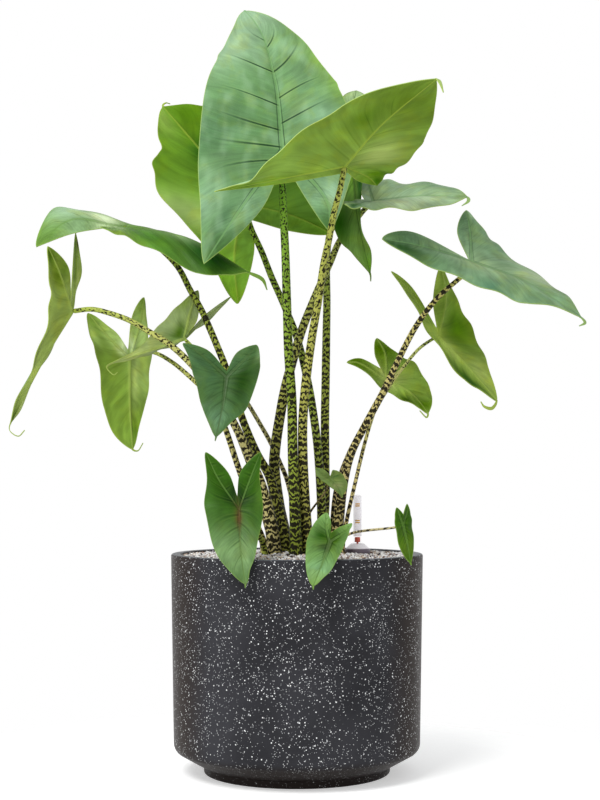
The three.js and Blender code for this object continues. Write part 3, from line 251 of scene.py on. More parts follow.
# The leaves' landmarks, the same as in the solids. A petiole runs from the substrate to the joint. A
# half blade runs from the lobe's tip along its rib to the joint, and its margin from the lobe's flank
# past the waist beside the joint to the front and the nose. blunt says how full the blade's tip is,
# and round how full the lobes are, outside and in the cleft. radii are the petiole's at its foot,
# half way up and at the joint.
leaves = {
    "crown": dict(
        radii=(7.4, 5.5, 4.3), blunt=0.7, round=(0.35, 0.35),
        petiole=[(-1, -40, 265), (-3, -42, 321), (-5, -41, 379), (-6, -37, 438), (-10, -29, 497),
            (-12, -23, 557), (-14, -15, 618), (-17, -9, 679), (-17, -12, 719)],
        joint=(-17, -25, 736), sinus=(-17, -26, 724), middle=(-29, 22, 841), tip=(-65, 50, 925),
        tail=[(-64, 57, 923), (-63, 61, 917)],
        left=half((-108, -62, 595), (-71, -52, 653), (-43, -45, 660), (-113, -46, 658), (-117, -28, 729),
            (-110, 10, 823), (-91, 30, 871)),
        right=half((39, -38, 636), (33, -38, 677), (14, -33, 671), (57, -38, 679), (71, -35, 746),
            (45, 0, 826), (1, 28, 888))),
    "canopy": dict(
        radii=(7.6, 5.3, 3.2), blunt=0.2, round=(0.2, 0.2),
        petiole=[(12, -27, 267), (9, -31, 321), (7, -35, 368), (7, -40, 414), (11, -46, 463),
            (18, -52, 513), (25, -58, 553), (31, -64, 594), (37, -70, 622), (43, -76, 653),
            (50, -82, 680)],
        joint=(55, -85, 705), sinus=(58, -73, 700), middle=(95, -145, 741), tip=(149, -215, 774),
        tail=[(153, -222, 768), (156, -226, 757)],
        left=half((96, 2, 698), (82, -30, 704), (73, -38, 696), (108, -8, 710), (125, -40, 715),
            (149, -105, 739), (153, -165, 759)),
        right=half((-93, -118, 670), (-17, -108, 687), (-19, -95, 683), (-52, -138, 680),
            (-12, -145, 718), (50, -190, 751), (105, -212, 768))),
    "back": dict(
        radii=(6.5, 4.8, 3.4), blunt=0.4, round=(0.5, 0.5),
        petiole=[(30, -4, 269), (29, -1, 320), (25, 5, 380), (19, 10, 428), (12, 15, 467), (0, 22, 516),
            (-17, 28, 559), (-31, 31, 591), (-43, 34, 622), (-56, 38, 651)],
        joint=(-67, 50, 685), sinus=(-57, 48, 664), middle=(-117, 54, 748), tip=(-166, 50, 805),
        tail=[(-163, 55, 811), (-158, 60, 811)],
        left=half((44, 58, 648), (-6, 60, 671), (-5, 52, 650), (51, 66, 698), (19, 74, 762),
            (-65, 78, 805), (-121, 66, 810)),
        right=half((-72, 36, 559), (-77, 40, 617), (-53, 44, 621), (-115, 36, 632), (-170, 36, 693),
            (-170, 42, 753), (-172, 46, 780))),
    "shelf": dict(
        radii=(7.6, 5.9, 3), blunt=0.2, round=(0.75, 0.75),
        petiole=[(-14, 4, 267), (-22, 5, 314), (-27, 6, 356), (-26, 6, 382), (-21, 5, 416), (-13, 4, 458),
            (4, 3, 518), (20, 5, 560), (31, 10, 586), (41, 18, 609), (52, 28, 635), (70, 35, 659),
            (83, 34, 675)],
        joint=(93, 24, 682), sinus=(83, 14, 683), middle=(151, 18, 688), tip=(205, 5, 685),
        tail=[(206, 1, 679), (198, -2, 673)],
        left=half((79, 76, 729), (87, 60, 711), (80, 48, 705), (99, 84, 725), (124, 72, 715),
            (173, 50, 709), (196, 24, 697)),
        right=half((53, -30, 673), (71, -22, 672), (66, -8, 677), (66, -40, 664), (97, -30, 665),
            (147, -26, 665), (181, -10, 673))),
    "hanging": dict(
        radii=(6, 5.1, 3.4), blunt=0.1, round=(0.75, 0.75),
        petiole=[(31, 14, 270), (34, 18, 320), (34, 22, 362), (34, 32, 417), (35, 43, 466), (36, 55, 516),
            (37, 68, 567), (37, 79, 612), (40, 86, 648), (50, 92, 690), (60, 86, 725)],
        joint=(68, 58, 750), sinus=(76, 64, 765), middle=(73, 18, 665), tip=(87, -8, 592),
        tail=[(88, -9, 587), (88, -10, 581)],
        left=half((112, 82, 806), (105, 71, 778), (94, 74, 790), (111, 76, 782), (86, 60, 741),
            (77, 14, 656), (89, 0, 618)),
        right=half((74, 78, 832), (69, 72, 801), (93, 78, 813), (50, 70, 812), (31, 42, 731),
            (47, 2, 640), (66, -8, 615))),
    "left_high": dict(
        radii=(6.6, 4.4, 3.1), blunt=0, round=(1, 0),
        petiole=[(-15, -12, 266), (-18, -11, 294), (-25, -10, 320), (-33, -8, 349), (-47, -6, 374),
            (-61, -4, 406), (-73, -1, 440), (-85, 2, 477), (-94, 5, 500), (-113, 9, 544), (-129, 15, 573),
            (-146, 24, 604), (-174, 33, 632), (-196, 28, 645)],
        joint=(-211, 10, 649), sinus=(-218, 5, 649), middle=(-134, -10, 634), tip=(-58, -35, 589),
        tail=[(-41, -40, 580), (-35, -42, 567)],
        left=half((-309, -25, 620), (-270, -2, 656), (-266, -14, 638), (-292, 20, 675), (-220, 45, 663),
            (-123, 20, 627), (-87, -12, 609)),
        right=half((-234, -20, 645), (-222, -10, 643), (-226, -6, 647), (-214, -28, 635),
            (-178, -35, 620), (-114, -45, 587), (-81, -42, 585))),
    "right_high": dict(
        radii=(8.8, 4.3, 2.6), blunt=0.2, round=(0.75, 0.75),
        petiole=[(46, -4, 266), (50, -5, 303), (56, -7, 344), (65, -9, 377), (81, -12, 409),
            (102, -17, 448), (121, -21, 488), (141, -26, 526), (166, -32, 559), (199, -40, 588)],
        joint=(206, -40, 600), sinus=(202, -38, 603), middle=(266, -62, 574), tip=(325, -85, 531),
        tail=[(329, -90, 524), (322, -92, 520)],
        left=half((206, 25, 672), (208, 8, 643), (192, -5, 642), (228, 22, 646), (250, 5, 618),
            (298, -28, 576), (316, -58, 556)),
        right=half((99, -62, 624), (147, -62, 615), (135, -50, 634), (154, -84, 589), (214, -88, 565),
            (263, -92, 546), (296, -92, 542))),
    "far_left": dict(
        radii=(5.6, 3.8, 2.6), blunt=0.1, round=(0.6, 0.6),
        petiole=[(-27, -28, 265), (-34, -30, 307), (-42, -31, 338), (-53, -32, 365), (-70, -34, 403),
            (-89, -35, 437), (-107, -36, 460), (-126, -36, 482), (-149, -35, 503), (-173, -33, 518),
            (-197, -30, 532), (-221, -27, 541), (-243, -25, 546)],
        joint=(-267, -20, 544), sinus=(-268, -22, 560), middle=(-299, -38, 483), tip=(-332, -58, 410),
        tail=[(-332, -60, 401), (-322, -62, 395), (-315, -60, 402)],
        left=half((-290, -60, 616), (-277, -48, 584), (-270, -35, 596), (-286, -68, 573),
            (-288, -62, 534), (-306, -66, 473), (-324, -64, 437)),
        right=half((-271, 35, 646), (-268, 20, 596), (-270, 5, 599), (-265, 40, 598), (-280, 40, 542),
            (-309, 18, 482), (-325, -20, 432))),
    "left_low": dict(
        radii=(4.4, 3.5, 2.1), blunt=0.5, round=(0.75, 0.75),
        petiole=[(-39, -16, 265), (-50, -18, 297), (-61, -20, 335), (-71, -20, 364), (-84, -19, 403),
            (-97, -16, 433), (-110, -7, 450), (-130, 8, 469), (-152, 24, 487), (-174, 35, 499),
            (-192, 38, 498)],
        joint=(-204, 34, 492), sinus=(-206, 35, 502), middle=(-202, 18, 434), tip=(-196, -6, 381),
        tail=[(-189, -8, 379), (-183, -10, 388)],
        left=half((-252, 10, 545), (-231, 18, 519), (-224, 24, 529), (-249, 6, 518), (-241, 12, 484),
            (-231, 2, 429), (-218, -5, 399)),
        right=half((-189, 56, 569), (-194, 54, 535), (-202, 44, 545), (-186, 66, 534), (-181, 64, 494),
            (-184, 38, 441), (-190, 14, 408))),
    "left_inner": dict(
        radii=(3.8, 2.8, 2.2), blunt=0, round=(0.75, 0.75),
        petiole=[(-32, 6, 266), (-41, 10, 306), (-55, 13, 354), (-71, 10, 397), (-89, 4, 440),
            (-109, -4, 478), (-123, -7, 500)],
        joint=(-135, 0, 513), sinus=(-131, 2, 519), middle=(-178, -5, 498), tip=(-218, -12, 484),
        tail=[(-226, -14, 478), (-218, -16, 469), (-213, -15, 472)],
        left=half((-120, 24, 574), (-129, 16, 547), (-120, 14, 539), (-142, 20, 557), (-164, 8, 532),
            (-188, -3, 503), (-202, -11, 493)),
        right=half((-82, 60, 570), (-112, 45, 542), (-111, 35, 546), (-112, 62, 539), (-155, 32, 506),
            (-187, 6, 492), (-203, -6, 486))),
    "right_inner": dict(
        radii=(2.8, 2.3, 2), blunt=0.4, round=(0.75, 0.75),
        petiole=[(54, -14, 265), (59, -13, 297), (70, -7, 344), (79, 3, 380), (87, 10, 408),
            (95, 12, 432), (102, 8, 451)],
        joint=(108, 28, 465), sinus=(102, 28, 479), middle=(137, 20, 449), tip=(157, 6, 424),
        tail=[(155, 5, 419), (147, 4, 427)],
        left=half((60, 16, 486), (77, 18, 484), (77, 22, 491), (80, 14, 476), (107, 14, 451),
            (134, 6, 437), (147, 5, 430)),
        right=half((98, 50, 518), (108, 46, 497), (95, 40, 498), (123, 56, 500), (147, 48, 484),
            (162, 28, 452), (163, 16, 437))),
    "right_low": dict(
        radii=(3.4, 2.5, 1.8), blunt=0.5, round=(0.75, 0.75),
        petiole=[(42, 22, 268), (45, 21, 320), (52, 18, 350), (64, 13, 380), (77, 5, 404), (92, -4, 427),
            (104, -8, 446), (114, -8, 462), (128, -5, 480), (145, 1, 500), (161, 7, 512)],
        joint=(170, 12, 516), sinus=(169, 13, 526), middle=(207, 0, 476), tip=(237, -14, 438),
        tail=[(231, -18, 429), (222, -18, 431), (218, -16, 437)],
        left=half((113, -2, 594), (137, 2, 567), (139, 8, 575), (135, -12, 560), (161, -15, 513),
            (198, -22, 462), (217, -20, 451)),
        right=half((177, 50, 607), (182, 40, 564), (166, 30, 565), (197, 56, 567), (216, 48, 527),
            (230, 18, 484), (236, 4, 459))),
    "shield": dict(
        radii=(3.2, 2.75, 2.3), blunt=0.3, round=(0.75, 0.75),
        petiole=[(0, 22, 267), (-2, 25, 296), (-11, 26, 340), (-22, 25, 368), (-33, 20, 391),
            (-46, 8, 414), (-58, -10, 434), (-69, -32, 449), (-77, -52, 457)],
        joint=(-81, -70, 462), sinus=(-81, -69, 470), middle=(-85, -80, 429), tip=(-92, -88, 394),
        tail=[(-93, -90, 389)],
        left=half((-47, -60, 501), (-58, -66, 486), (-69, -64, 492), (-43, -62, 486), (-44, -66, 467),
            (-57, -78, 428), (-74, -84, 411)),
        right=half((-131, -72, 502), (-108, -74, 486), (-103, -70, 494), (-125, -76, 487),
            (-118, -78, 463), (-108, -84, 427), (-101, -86, 410))),
    "apron": dict(
        radii=(3.4, 2.9, 2.4), blunt=0.6, round=(0.75, 0.75),
        petiole=[(-38, -38, 263), (-48, -72, 287), (-55, -90, 299)],
        joint=(-65, -112, 312), sinus=(-67, -109, 326), middle=(-62, -138, 270), tip=(-56, -158, 232),
        tail=[(-56, -161, 228)],
        left=half((-41, -100, 376), (-53, -106, 345), (-63, -104, 355), (-42, -106, 347),
            (-38, -114, 311), (-45, -143, 266), (-51, -153, 247)),
        right=half((-103, -104, 376), (-88, -108, 345), (-78, -106, 354), (-101, -110, 345),
            (-103, -118, 314), (-90, -143, 267), (-74, -153, 246))),
    "lip": dict(
        radii=(2.8, 2.4, 2), blunt=0.5, round=(0.75, 0.75),
        petiole=[(22, -36, 264), (27, -50, 274), (32, -72, 279), (36, -114, 279)],
        joint=(37, -128, 276), sinus=(38, -121, 286), middle=(28, -156, 254), tip=(18, -172, 231),
        tail=[(18, -174, 227)],
        left=half((62, -106, 296), (53, -114, 285), (48, -112, 292), (59, -112, 287), (52, -130, 271),
            (39, -158, 249), (29, -167, 239)),
        right=half((33, -108, 308), (33, -116, 292), (38, -112, 299), (20, -117, 297), (11, -134, 277),
            (10, -160, 252), (12, -167, 240))),
    "rim_leaf": dict(
        radii=(1.7, 1.5, 1.3), blunt=0.3, round=(0.75, 0.75),
        petiole=[(43, -32, 264), (48, -38, 274), (62, -48, 282), (79, -58, 286), (111, -73, 290)],
        joint=(121, -78, 294), sinus=(122, -76, 305), middle=(125, -90, 273), tip=(128, -101, 252),
        tail=[(129, -103, 249)],
        left=half((127, -62, 317), (127, -66, 308), (124, -68, 311), (130, -64, 310), (132, -68, 295),
            (133, -86, 272), (131, -96, 260)),
        right=half((114, -76, 313), (117, -78, 305), (119, -76, 309), (112, -80, 306), (112, -84, 293),
            (116, -96, 269), (121, -100, 259))),
    "bud": dict(
        radii=(1.5, 1.3, 1.1), blunt=0.2, round=(0.75, 0.75),
        petiole=[(11, -12, 265), (12, -16, 287), (15, -22, 305), (32, -38, 329)],
        joint=(39, -45, 345), sinus=(39, -44, 349), middle=(47, -48, 337), tip=(52, -52, 326),
        tail=[(53, -53, 324)],
        left=half((42, -42, 356), (43, -42, 351), (40, -43, 352), (49, -41, 354), (55, -42, 348),
            (59, -47, 339), (57, -50, 332)),
        right=half((22, -46, 358), (30, -47, 351), (32, -45, 356), (23, -50, 350), (30, -50, 343),
            (42, -52, 334), (48, -53, 329))),
}


def srgb(red, green, blue):
    """Bytes of a screen colour as linear light."""
    return tuple((c / 255 / 12.92 if c <= 10 else ((c / 255 + 0.055) / 1.055) ** 2.4)
                 for c in (red, green, blue))


# Node materials

class Wire:
    """A node's output, which can be added, subtracted, multiplied and divided."""

    def __init__(self, material, socket):
        self.material = material
        self.socket = socket

    def __add__(self, other):
        return self.material.math("ADD", self, other)

    def __sub__(self, other):
        return self.material.math("SUBTRACT", self, other)

    def __mul__(self, other):
        return self.material.math("MULTIPLY", self, other)

    def __truediv__(self, other):
        return self.material.math("DIVIDE", self, other)

    def __abs__(self):
        return self.material.math("ABSOLUTE", self)


class Material:
    """A procedural material whose nodes end in one Principled shader."""

    def __init__(self, name, **constants):
        self.material = bpy.data.materials.new(name)
        self.material.use_nodes = True
        self.tree = self.material.node_tree
        self.finish(**constants)

    def finish(self, **sockets):
        """Sets the shader's sockets, each by a number, a colour in bytes or a wire."""
        shader = self.tree.nodes["Principled BSDF"]
        for name, value in sockets.items():
            self.put(shader.inputs[name.replace("_", " ")], value)
        return self.material

    def put(self, socket, value):
        if isinstance(value, Wire):
            self.tree.links.new(value.socket, socket)
        elif socket.type == "RGBA":
            socket.default_value = (*srgb(*value), 1)
        else:
            socket.default_value = value

    def node(self, kind, inputs, *outputs, **settings):
        """Adds a node and gives the named outputs: one wire, or a list of them."""
        node = self.tree.nodes.new("ShaderNode" + kind)
        for key, value in settings.items():
            setattr(node, key, value)
        for key, value in inputs.items():
            self.put(node.inputs[key], value)
        wires = [Wire(self, node.outputs[key]) for key in outputs]
        return wires[0] if len(wires) == 1 else wires

    def attribute(self, name, output):
        return self.node("Attribute", {}, output, attribute_name=name)

    def position(self):
        return self.node("TexCoord", {}, "Object")

    def parts(self, vector):
        return self.node("SeparateXYZ", {"Vector": vector}, 0, 1, 2)

    def math(self, operation, *values):
        return self.node("Math", dict(enumerate(values)), 0, operation=operation)

    def times(self, vector, factors):
        """A vector or colour with each part multiplied by its own factor."""
        return self.node("VectorMath", {0: vector, 1: factors}, 0, operation="MULTIPLY")

    def scaled(self, vector, factor):
        return self.node("VectorMath", {0: vector, "Scale": factor}, 0, operation="SCALE")

    def spread(self, value, low, high, to_low=0.0, to_high=1.0):
        """A smooth step of value from low to high."""
        sockets = {"Value": value, "From Min": low, "From Max": high, "To Min": to_low, "To Max": to_high}
        return self.node("MapRange", sockets, "Result", interpolation_type="SMOOTHSTEP")

    def mix(self, factor, a, b):
        return self.node("Mix", {0: factor, 6: a, 7: b}, 2, data_type="RGBA")

    def noise(self, vector, scale, detail, distortion=0.0):
        sockets = {"Vector": vector, "Scale": scale, "Detail": detail, "Distortion": distortion}
        return self.node("TexNoise", sockets, "Fac")

    def cells(self, vector, scale, outputs, feature="F1"):
        return self.node("TexVoronoi", {"Vector": vector, "Scale": scale}, *outputs, feature=feature)

    def ramp(self, value, stops):
        """One colour from each stop to the next."""
        node = self.tree.nodes.new("ShaderNodeValToRGB")
        self.put(node.inputs["Fac"], value)
        node.color_ramp.interpolation = "CONSTANT"
        elements = node.color_ramp.elements
        for _ in stops[2:]:
            elements.new(0.5)
        for element, (place, color) in zip(elements, stops):
            element.position = place
            element.color = (*srgb(*color), 1)
        return Wire(self, node.outputs["Color"])

    def bump(self, height, strength, distance_mm):
        sockets = {"Height": height, "Strength": strength, "Distance": distance_mm * MM}
        return self.node("Bump", sockets, "Normal")


# Meshes

COLOR_ATTRIBUTES = ("tint", "rib_tint")


def add_attribute(mesh, key, values):
    """Gives a mesh a number, a vector or a colour for each point."""
    values = np.asarray(values, np.float32)
    if key in COLOR_ATTRIBUTES:
        kind, field = "FLOAT_COLOR", "color"
        values = np.c_[values, np.ones(len(values))]
    elif values.ndim == 2:
        kind, field = "FLOAT_VECTOR", "vector"
    else:
        kind, field = "FLOAT", "value"
    mesh.attributes.new(key, kind, "POINT").data.foreach_set(field, values.ravel())


def mesh_piece(name, points, faces, materials, slot, replaces=(), attributes=(), material_index=None,
               crease=35):
    """A smooth-shaded object from points in millimetres, riding on the pot."""
    mesh = bpy.data.meshes.new(name)
    mesh.from_pydata((np.asarray(points) * MM).tolist(), [], [list(map(int, face)) for face in faces])
    for material in materials:
        mesh.materials.append(material)
    if material_index is not None:
        mesh.polygons.foreach_set("material_index", np.asarray(material_index, np.int32))
    mesh.polygons.foreach_set("use_smooth", np.ones(len(mesh.polygons), bool))
    for key, values in dict(attributes).items():
        add_attribute(mesh, key, values)
    mesh.update()
    mesh.set_sharp_from_angle(angle=math.radians(crease))
    piece = bpy.data.objects.new(name, mesh)
    bpy.context.scene.collection.objects.link(piece)
    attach(piece, "root")
    if replaces:
        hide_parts(*replaces)


def unit(vectors):
    return vectors / np.maximum(np.linalg.norm(vectors, axis=-1, keepdims=True), 1e-9)


def smooth(marks, before, after, steps):
    """Points of a smooth curve through the marks, with steps[i] intervals on span i."""
    p = np.array([before, *marks, after], float)
    points = [p[1:2]]
    for i, count in enumerate(steps, 1):
        t = (np.arange(1, count + 1) / count)[:, None]
        leave, arrive = (p[i + 1] - p[i - 1]) / 2, (p[i + 2] - p[i]) / 2
        points.append(p[i] * ((2 * t - 3) * t * t + 1) + leave * ((t - 2) * t + 1) * t
                      + p[i + 1] * (3 - 2 * t) * t * t + arrive * (t - 1) * t * t)
    return np.vstack(points)


def beyond(start, end):
    """The point as far past the end as the start is before it."""
    return 2 * np.asarray(end, float) - start


# Blades

FACTS = ("u", "w", "side", "rib", "edge", "ridge", "phase", "pitch")
HUMP_SCALE = 27 / 4  # brings the highest value of s * (1 - s) ** 2 to 1


def half_curves(leaf, side, n):
    """The spine from the lobe's tip past the joint to the tip, the outer margin and the cleft's."""
    half, other = leaf[side], leaf["right" if side == "left" else "left"]
    lobe, rib, cleft, flank, waist, front, nose = (
        np.array(half[key], float)
        for key in ("lobe", "rib", "cleft", "flank", "waist", "front", "nose"))
    joint, sinus, middle, tip = (np.array(leaf[key], float)
                                 for key in ("joint", "sinus", "middle", "tip"))
    tip_edge = tip + unit(nose - other["nose"]) * TIP_HALF_WIDTH
    past_tip = beyond(nose, tip_edge) * (1 - leaf["blunt"]) + np.array(other["nose"]) * leaf["blunt"]
    full_outside, full_inside = leaf["round"]
    outside = beyond(flank, lobe) * (1 - full_outside) + cleft * full_outside
    inside = beyond(cleft, lobe) * (1 - full_inside) + flank * full_inside
    margin = smooth([lobe, flank, waist, front, nose, tip_edge], outside, past_tip,
                    [n, n, n, n // 2, n // 2])
    lobe_rib = smooth([lobe, rib, joint], beyond(rib, lobe), beyond(rib, joint), [n, n])
    past_spine = BOWS.get(leaf["name"], beyond(middle, tip))
    midrib = smooth([joint, middle, tip], beyond(middle, joint), past_spine, [n, n])
    cleft_margin = smooth([lobe, cleft, sinus], inside, beyond(cleft, sinus), [n, n])
    return np.vstack([lobe_rib, midrib[1:]]), margin, cleft_margin


def row_normals(leaf, side, n):
    """Which way the upper face looks, for each row of a half blade."""
    half = leaf[side]
    sign = SIGNS[side]

    def across(start, end, inside, outside):
        return sign * unit(np.cross(np.subtract(end, start), np.subtract(outside, inside)))

    joint, middle, tip = leaf["joint"], leaf["middle"], leaf["tip"]
    shoulder = (np.array(half["rib"]) + joint) / 2
    faces = np.array([
        across(half["lobe"], joint, half["rib"], half["flank"]),
        across(shoulder, middle, joint, half["waist"]),
        across(joint, tip, middle, half["front"]),
    ])
    place = np.clip(np.arange(4 * n + 1) / n - 1, 0, 2)
    first = np.minimum(np.floor(place), 1).astype(int)
    share = (place - first)[:, None]
    return unit(faces[first] * (1 - share) + faces[first + 1] * share)


def vein_phase(u, w, starts):
    """A number that is whole on each lateral vein, and the rows from one vein to the next."""
    slant = VEIN_SLANT * np.tanh((u - SLANT_TURN) / SLANT_REACH)
    along = u - slant * w
    knots = np.array([starts[0] - 1, *starts, starts[-1] + 1])
    phase = np.interp(along, knots, np.arange(len(knots)))
    gaps = np.diff(knots)
    pitch = gaps[np.clip(np.searchsorted(knots, along) - 1, 0, len(gaps) - 1)]
    return phase, pitch


def frill(name, margin, u):
    """How far a small turn of a margin stands out, in millimetres."""
    turns = FRILLS.get((name, margin), ())
    return sum((out * np.exp(-((u - place) / reach) ** 2) for place, reach, out in turns), 0 * u)


def strip(leaf, side, part, u, spine, margin, normals, row_mm):
    """A half blade's points and facts between the spine and one margin."""
    outer = part == "outer"
    sign = SIGNS[side]
    w = ((np.arange(COLUMNS[part] + 1) / COLUMNS[part]) ** CROWDING[part])[None, :]
    margin = margin + unit(margin - spine) * frill(leaf["name"], side if outer else side + " cleft", u)
    width = np.linalg.norm(margin - spine, axis=1)[:, None]
    broad = np.minimum(1, width / FULL_WAVE_WIDTH)
    phase, pitch = vein_phase(u, w if outer else -CLEFT_VEIN_SHARE * w, leaf["veins"][side])
    pitch_mm = pitch * row_mm
    hump = 4 * w * (1 - w)
    if outer:
        rise = BULGE * width * hump * np.minimum(1, (4 - u) * BULGE_FADE)
        wave = np.sin(2 * np.pi * (WAVES_PER_SPAN * u + WAVE_PHASE * sign)) * broad
        rise = rise + EDGE_WAVE * np.sin(np.pi * u / 4).clip(0) ** WAVE_TAPER * wave * w * w
    else:
        rise = BULGE * width * hump * (1 - (u / 2) ** 2)
    swell = np.minimum(1, pitch_mm / QUILT_PITCH) * broad
    rise = rise + QUILT * swell * hump * (0.5 - 0.5 * np.cos(2 * np.pi * phase))
    points = spine[:, None] + (margin - spine)[:, None] * w[..., None] + normals[:, None] * rise[..., None]
    ridge = np.where(u < 2, np.interp(u, (0, 2), LOBE_RIDGE), np.interp(u, (2, 4), MIDRIB_RIDGE))
    ones = np.ones_like(rise)
    place = sign * w * ones if outer else 0 * ones
    facts = dict(u=u * ones, w=w * ones, side=place, rib=w * width, edge=(1 - w) * width,
                 ridge=ridge * ones, phase=phase * ones, pitch=pitch_mm * ones)
    return points, facts


def half_surface(leaf, side, n):
    """A half blade's two strips: outside the spine, and in the cleft."""
    spine, margin, cleft_margin = half_curves(leaf, side, n)
    normals = row_normals(leaf, side, n)
    u = (np.arange(4 * n + 1) / n)[:, None]
    row_mm = np.linalg.norm(np.gradient(spine, axis=0), axis=1)[:, None] * n
    lobe = slice(0, 2 * n + 1)
    return (strip(leaf, side, "outer", u, spine, margin, normals, row_mm),
            strip(leaf, side, "cleft", u[lobe], spine[lobe], cleft_margin, normals[lobe], row_mm[lobe]))


def blade_surface(leaf, n):
    """The blade's middle surface: points, facts and triangles whose front is the upper face."""
    points, facts, triangles = [], [], []
    count = 0
    shared = {}
    for side, sign in SIGNS.items():
        grids = []
        for grid, about in half_surface(leaf, side, n):
            grids.append(count + np.arange(grid[..., 0].size).reshape(grid.shape[:2]))
            count += grids[-1].size
            points.append(grid.reshape(-1, 3))
            facts.append(np.stack([about[key].ravel() for key in FACTS], axis=1))
        outer, cleft = grids
        # The grids close on one point at the lobe's tip and at the blade's, and share the spine
        outer[0, :] = outer[0, 0]
        outer[-1, 1:] = outer[-1, 1]
        cleft[0, :] = outer[0, 0]
        if side == "right":
            outer[2 * n:, 0] = shared["midrib"]
            cleft[2 * n, :] = shared["sinus"]
        cleft[:, 0] = outer[:2 * n + 1, 0]
        shared["midrib"], shared["sinus"] = outer[2 * n:, 0], cleft[2 * n, :].copy()
        shared[side] = outer[-1, 1]
        triangles += [grid_triangles(outer, sign < 0), grid_triangles(cleft, sign > 0)]
    points, facts = np.vstack(points), np.vstack(facts)
    for side in SIGNS:
        points[shared[side]] = half_curves(leaf, side, n)[1][-1]
    start = (shared["left"], shared["midrib"][-1], shared["right"])
    tail_points, tail_facts, tail_triangles = tail(leaf, points, facts, start)
    return (np.vstack([points, tail_points]), np.vstack([facts, tail_facts]),
            np.vstack([*triangles, tail_triangles]))


def grid_triangles(index, reverse):
    """Two triangles for each cell of a grid of point numbers, without those that have no area."""
    a, b, c, d = index[:-1, :-1], index[1:, :-1], index[1:, 1:], index[:-1, 1:]
    faces = np.concatenate([np.stack([a, b, c], -1).reshape(-1, 3), np.stack([a, c, d], -1).reshape(-1, 3)])
    faces = faces[np.all(faces != np.roll(faces, -1, axis=1), axis=1)]
    return faces[:, ::-1] if reverse else faces


def tail(leaf, points, facts, start):
    """The drip tail: a narrow strip that runs on from the tip of the blade."""
    marks = np.array([leaf["tip"], *leaf["tail"]], float)
    before = np.array(leaf["middle"]) * (1 - TAIL_LEAD) + marks[0] * TAIL_LEAD
    line = smooth(marks, before, beyond(marks[-2], marks[-1]), [TAIL_STEPS] * (len(marks) - 1))
    across = points[start[2]] - points[start[0]]
    made, faces, row = [], [], start
    for i in range(1, len(line)):
        along = unit(line[min(i + 1, len(line) - 1)] - line[i - 1])
        across = unit(across - along * (across @ along))
        share = i / (len(line) - 1)
        half = TIP_HALF_WIDTH + (TAIL_HALF_WIDTH - TIP_HALF_WIDTH) * share
        half += TAIL_SWELLS.get(leaf["name"], 0) * HUMP_SCALE * share * (1 - share) ** 2
        following = [len(points) + len(made) + k for k in range(3)]
        made += [line[i] + across * half * k for k in (-1, 0, 1)]
        for inner, outer in ((1, 0), (2, 1)):
            faces.append((row[inner], following[inner], following[outer]))
            faces.append((row[inner], following[outer], row[outer]))
        row = following
    about = np.repeat(facts[[start[1]]], len(made), axis=0)
    about[:, FACTS.index("ridge")] = 0
    about[:, FACTS.index("edge")] = TAIL_EDGE
    return np.array(made), about, np.array(faces)


def vertex_normals(points, triangles):
    """The surface's direction at each point, from the triangles round it."""
    a, b, c = (points[triangles[:, k]] for k in range(3))
    normals = np.zeros_like(points)
    flat = np.cross(b - a, c - a)
    for k in range(3):
        np.add.at(normals, triangles[:, k], flat)
    return unit(normals)


def compact(points, facts, triangles):
    """The same surface without the points that no triangle uses."""
    used, renumbered = np.unique(triangles, return_inverse=True)
    return points[used], facts[used], renumbered.reshape(-1, 3)


def rim_edges(triangles, count):
    """The directed edges that only one triangle has."""
    edges = np.vstack([triangles[:, [0, 1]], triangles[:, [1, 2]], triangles[:, [2, 0]]])
    forward, backward = edges @ (count, 1), edges @ (1, count)
    return edges[~np.isin(forward, backward)]


def blade(name, leaf):
    """A leaf's blade: an upper face, an under face with raised ribs, and the rim between them."""
    points, facts, triangles = compact(*blade_surface(leaf, LARGE_ROWS if name in LARGE else SMALL_ROWS))
    fact = dict(zip(FACTS, facts.T))
    count = len(points)
    normals = vertex_normals(points, triangles)
    ridge = fact["ridge"] * np.exp(-(fact["rib"] / RIDGE_WIDTH) ** 2)
    half = BLADE_THICKNESS / 2
    shell = np.vstack([points + normals * half, points - normals * (half + ridge)[:, None]])
    start, end = rim_edges(triangles, count).T
    faces = np.vstack([triangles, triangles[:, ::-1] + count, np.c_[start, start + count, end + count],
                       np.c_[start, end + count, end]])
    look = looks[name]
    slot = look["slot"]
    mesh_piece(name + "_leaf", shell, faces, [leaf_materials[slot, "upper"], leaf_materials[slot, "under"]],
               slot, [name + "_blade"], blade_attributes(look, fact),
               np.arange(len(faces)) >= len(triangles), crease=50)


def blade_attributes(look, fact):
    """What a blade's materials read at each point: its colour, then facts that both faces share."""
    u = fact["u"]
    widths = np.interp(u, (0, 2, 4), (LOBE_RIB, look.get("rib", MIDRIB), TIP_RIB))
    shown = np.tile(look.get("shown", SHOWN), (len(u), 1))
    shown[:, 0] *= np.interp(u, LOBE_END, (look.get("lobes", 1), 1))
    shared = {
        "vein": np.c_[fact["phase"], fact["pitch"], fact["w"]],
        "place": np.c_[fact["rib"] / widths, fact["edge"], u],
        "shown": shown,
        "rib_tint": rib_tint(look, u),
    }
    return {"tint": np.vstack([tint_of(look[face], fact) for face in ("upper", "under")]),
            **{key: np.concatenate([values, values]) for key, values in shared.items()}}


def rib_tint(look, u):
    """The ribs' colour, which may be another one round the joint."""
    usual = np.array(srgb(*RIB_TINTS[look["slot"]]))
    central = np.array(srgb(*look["rib_tint"])) if "rib_tint" in look else usual
    share = np.interp(u, CENTRE_ROWS, CENTRE_SHARES)[:, None]
    return usual * (1 - share) + central * share


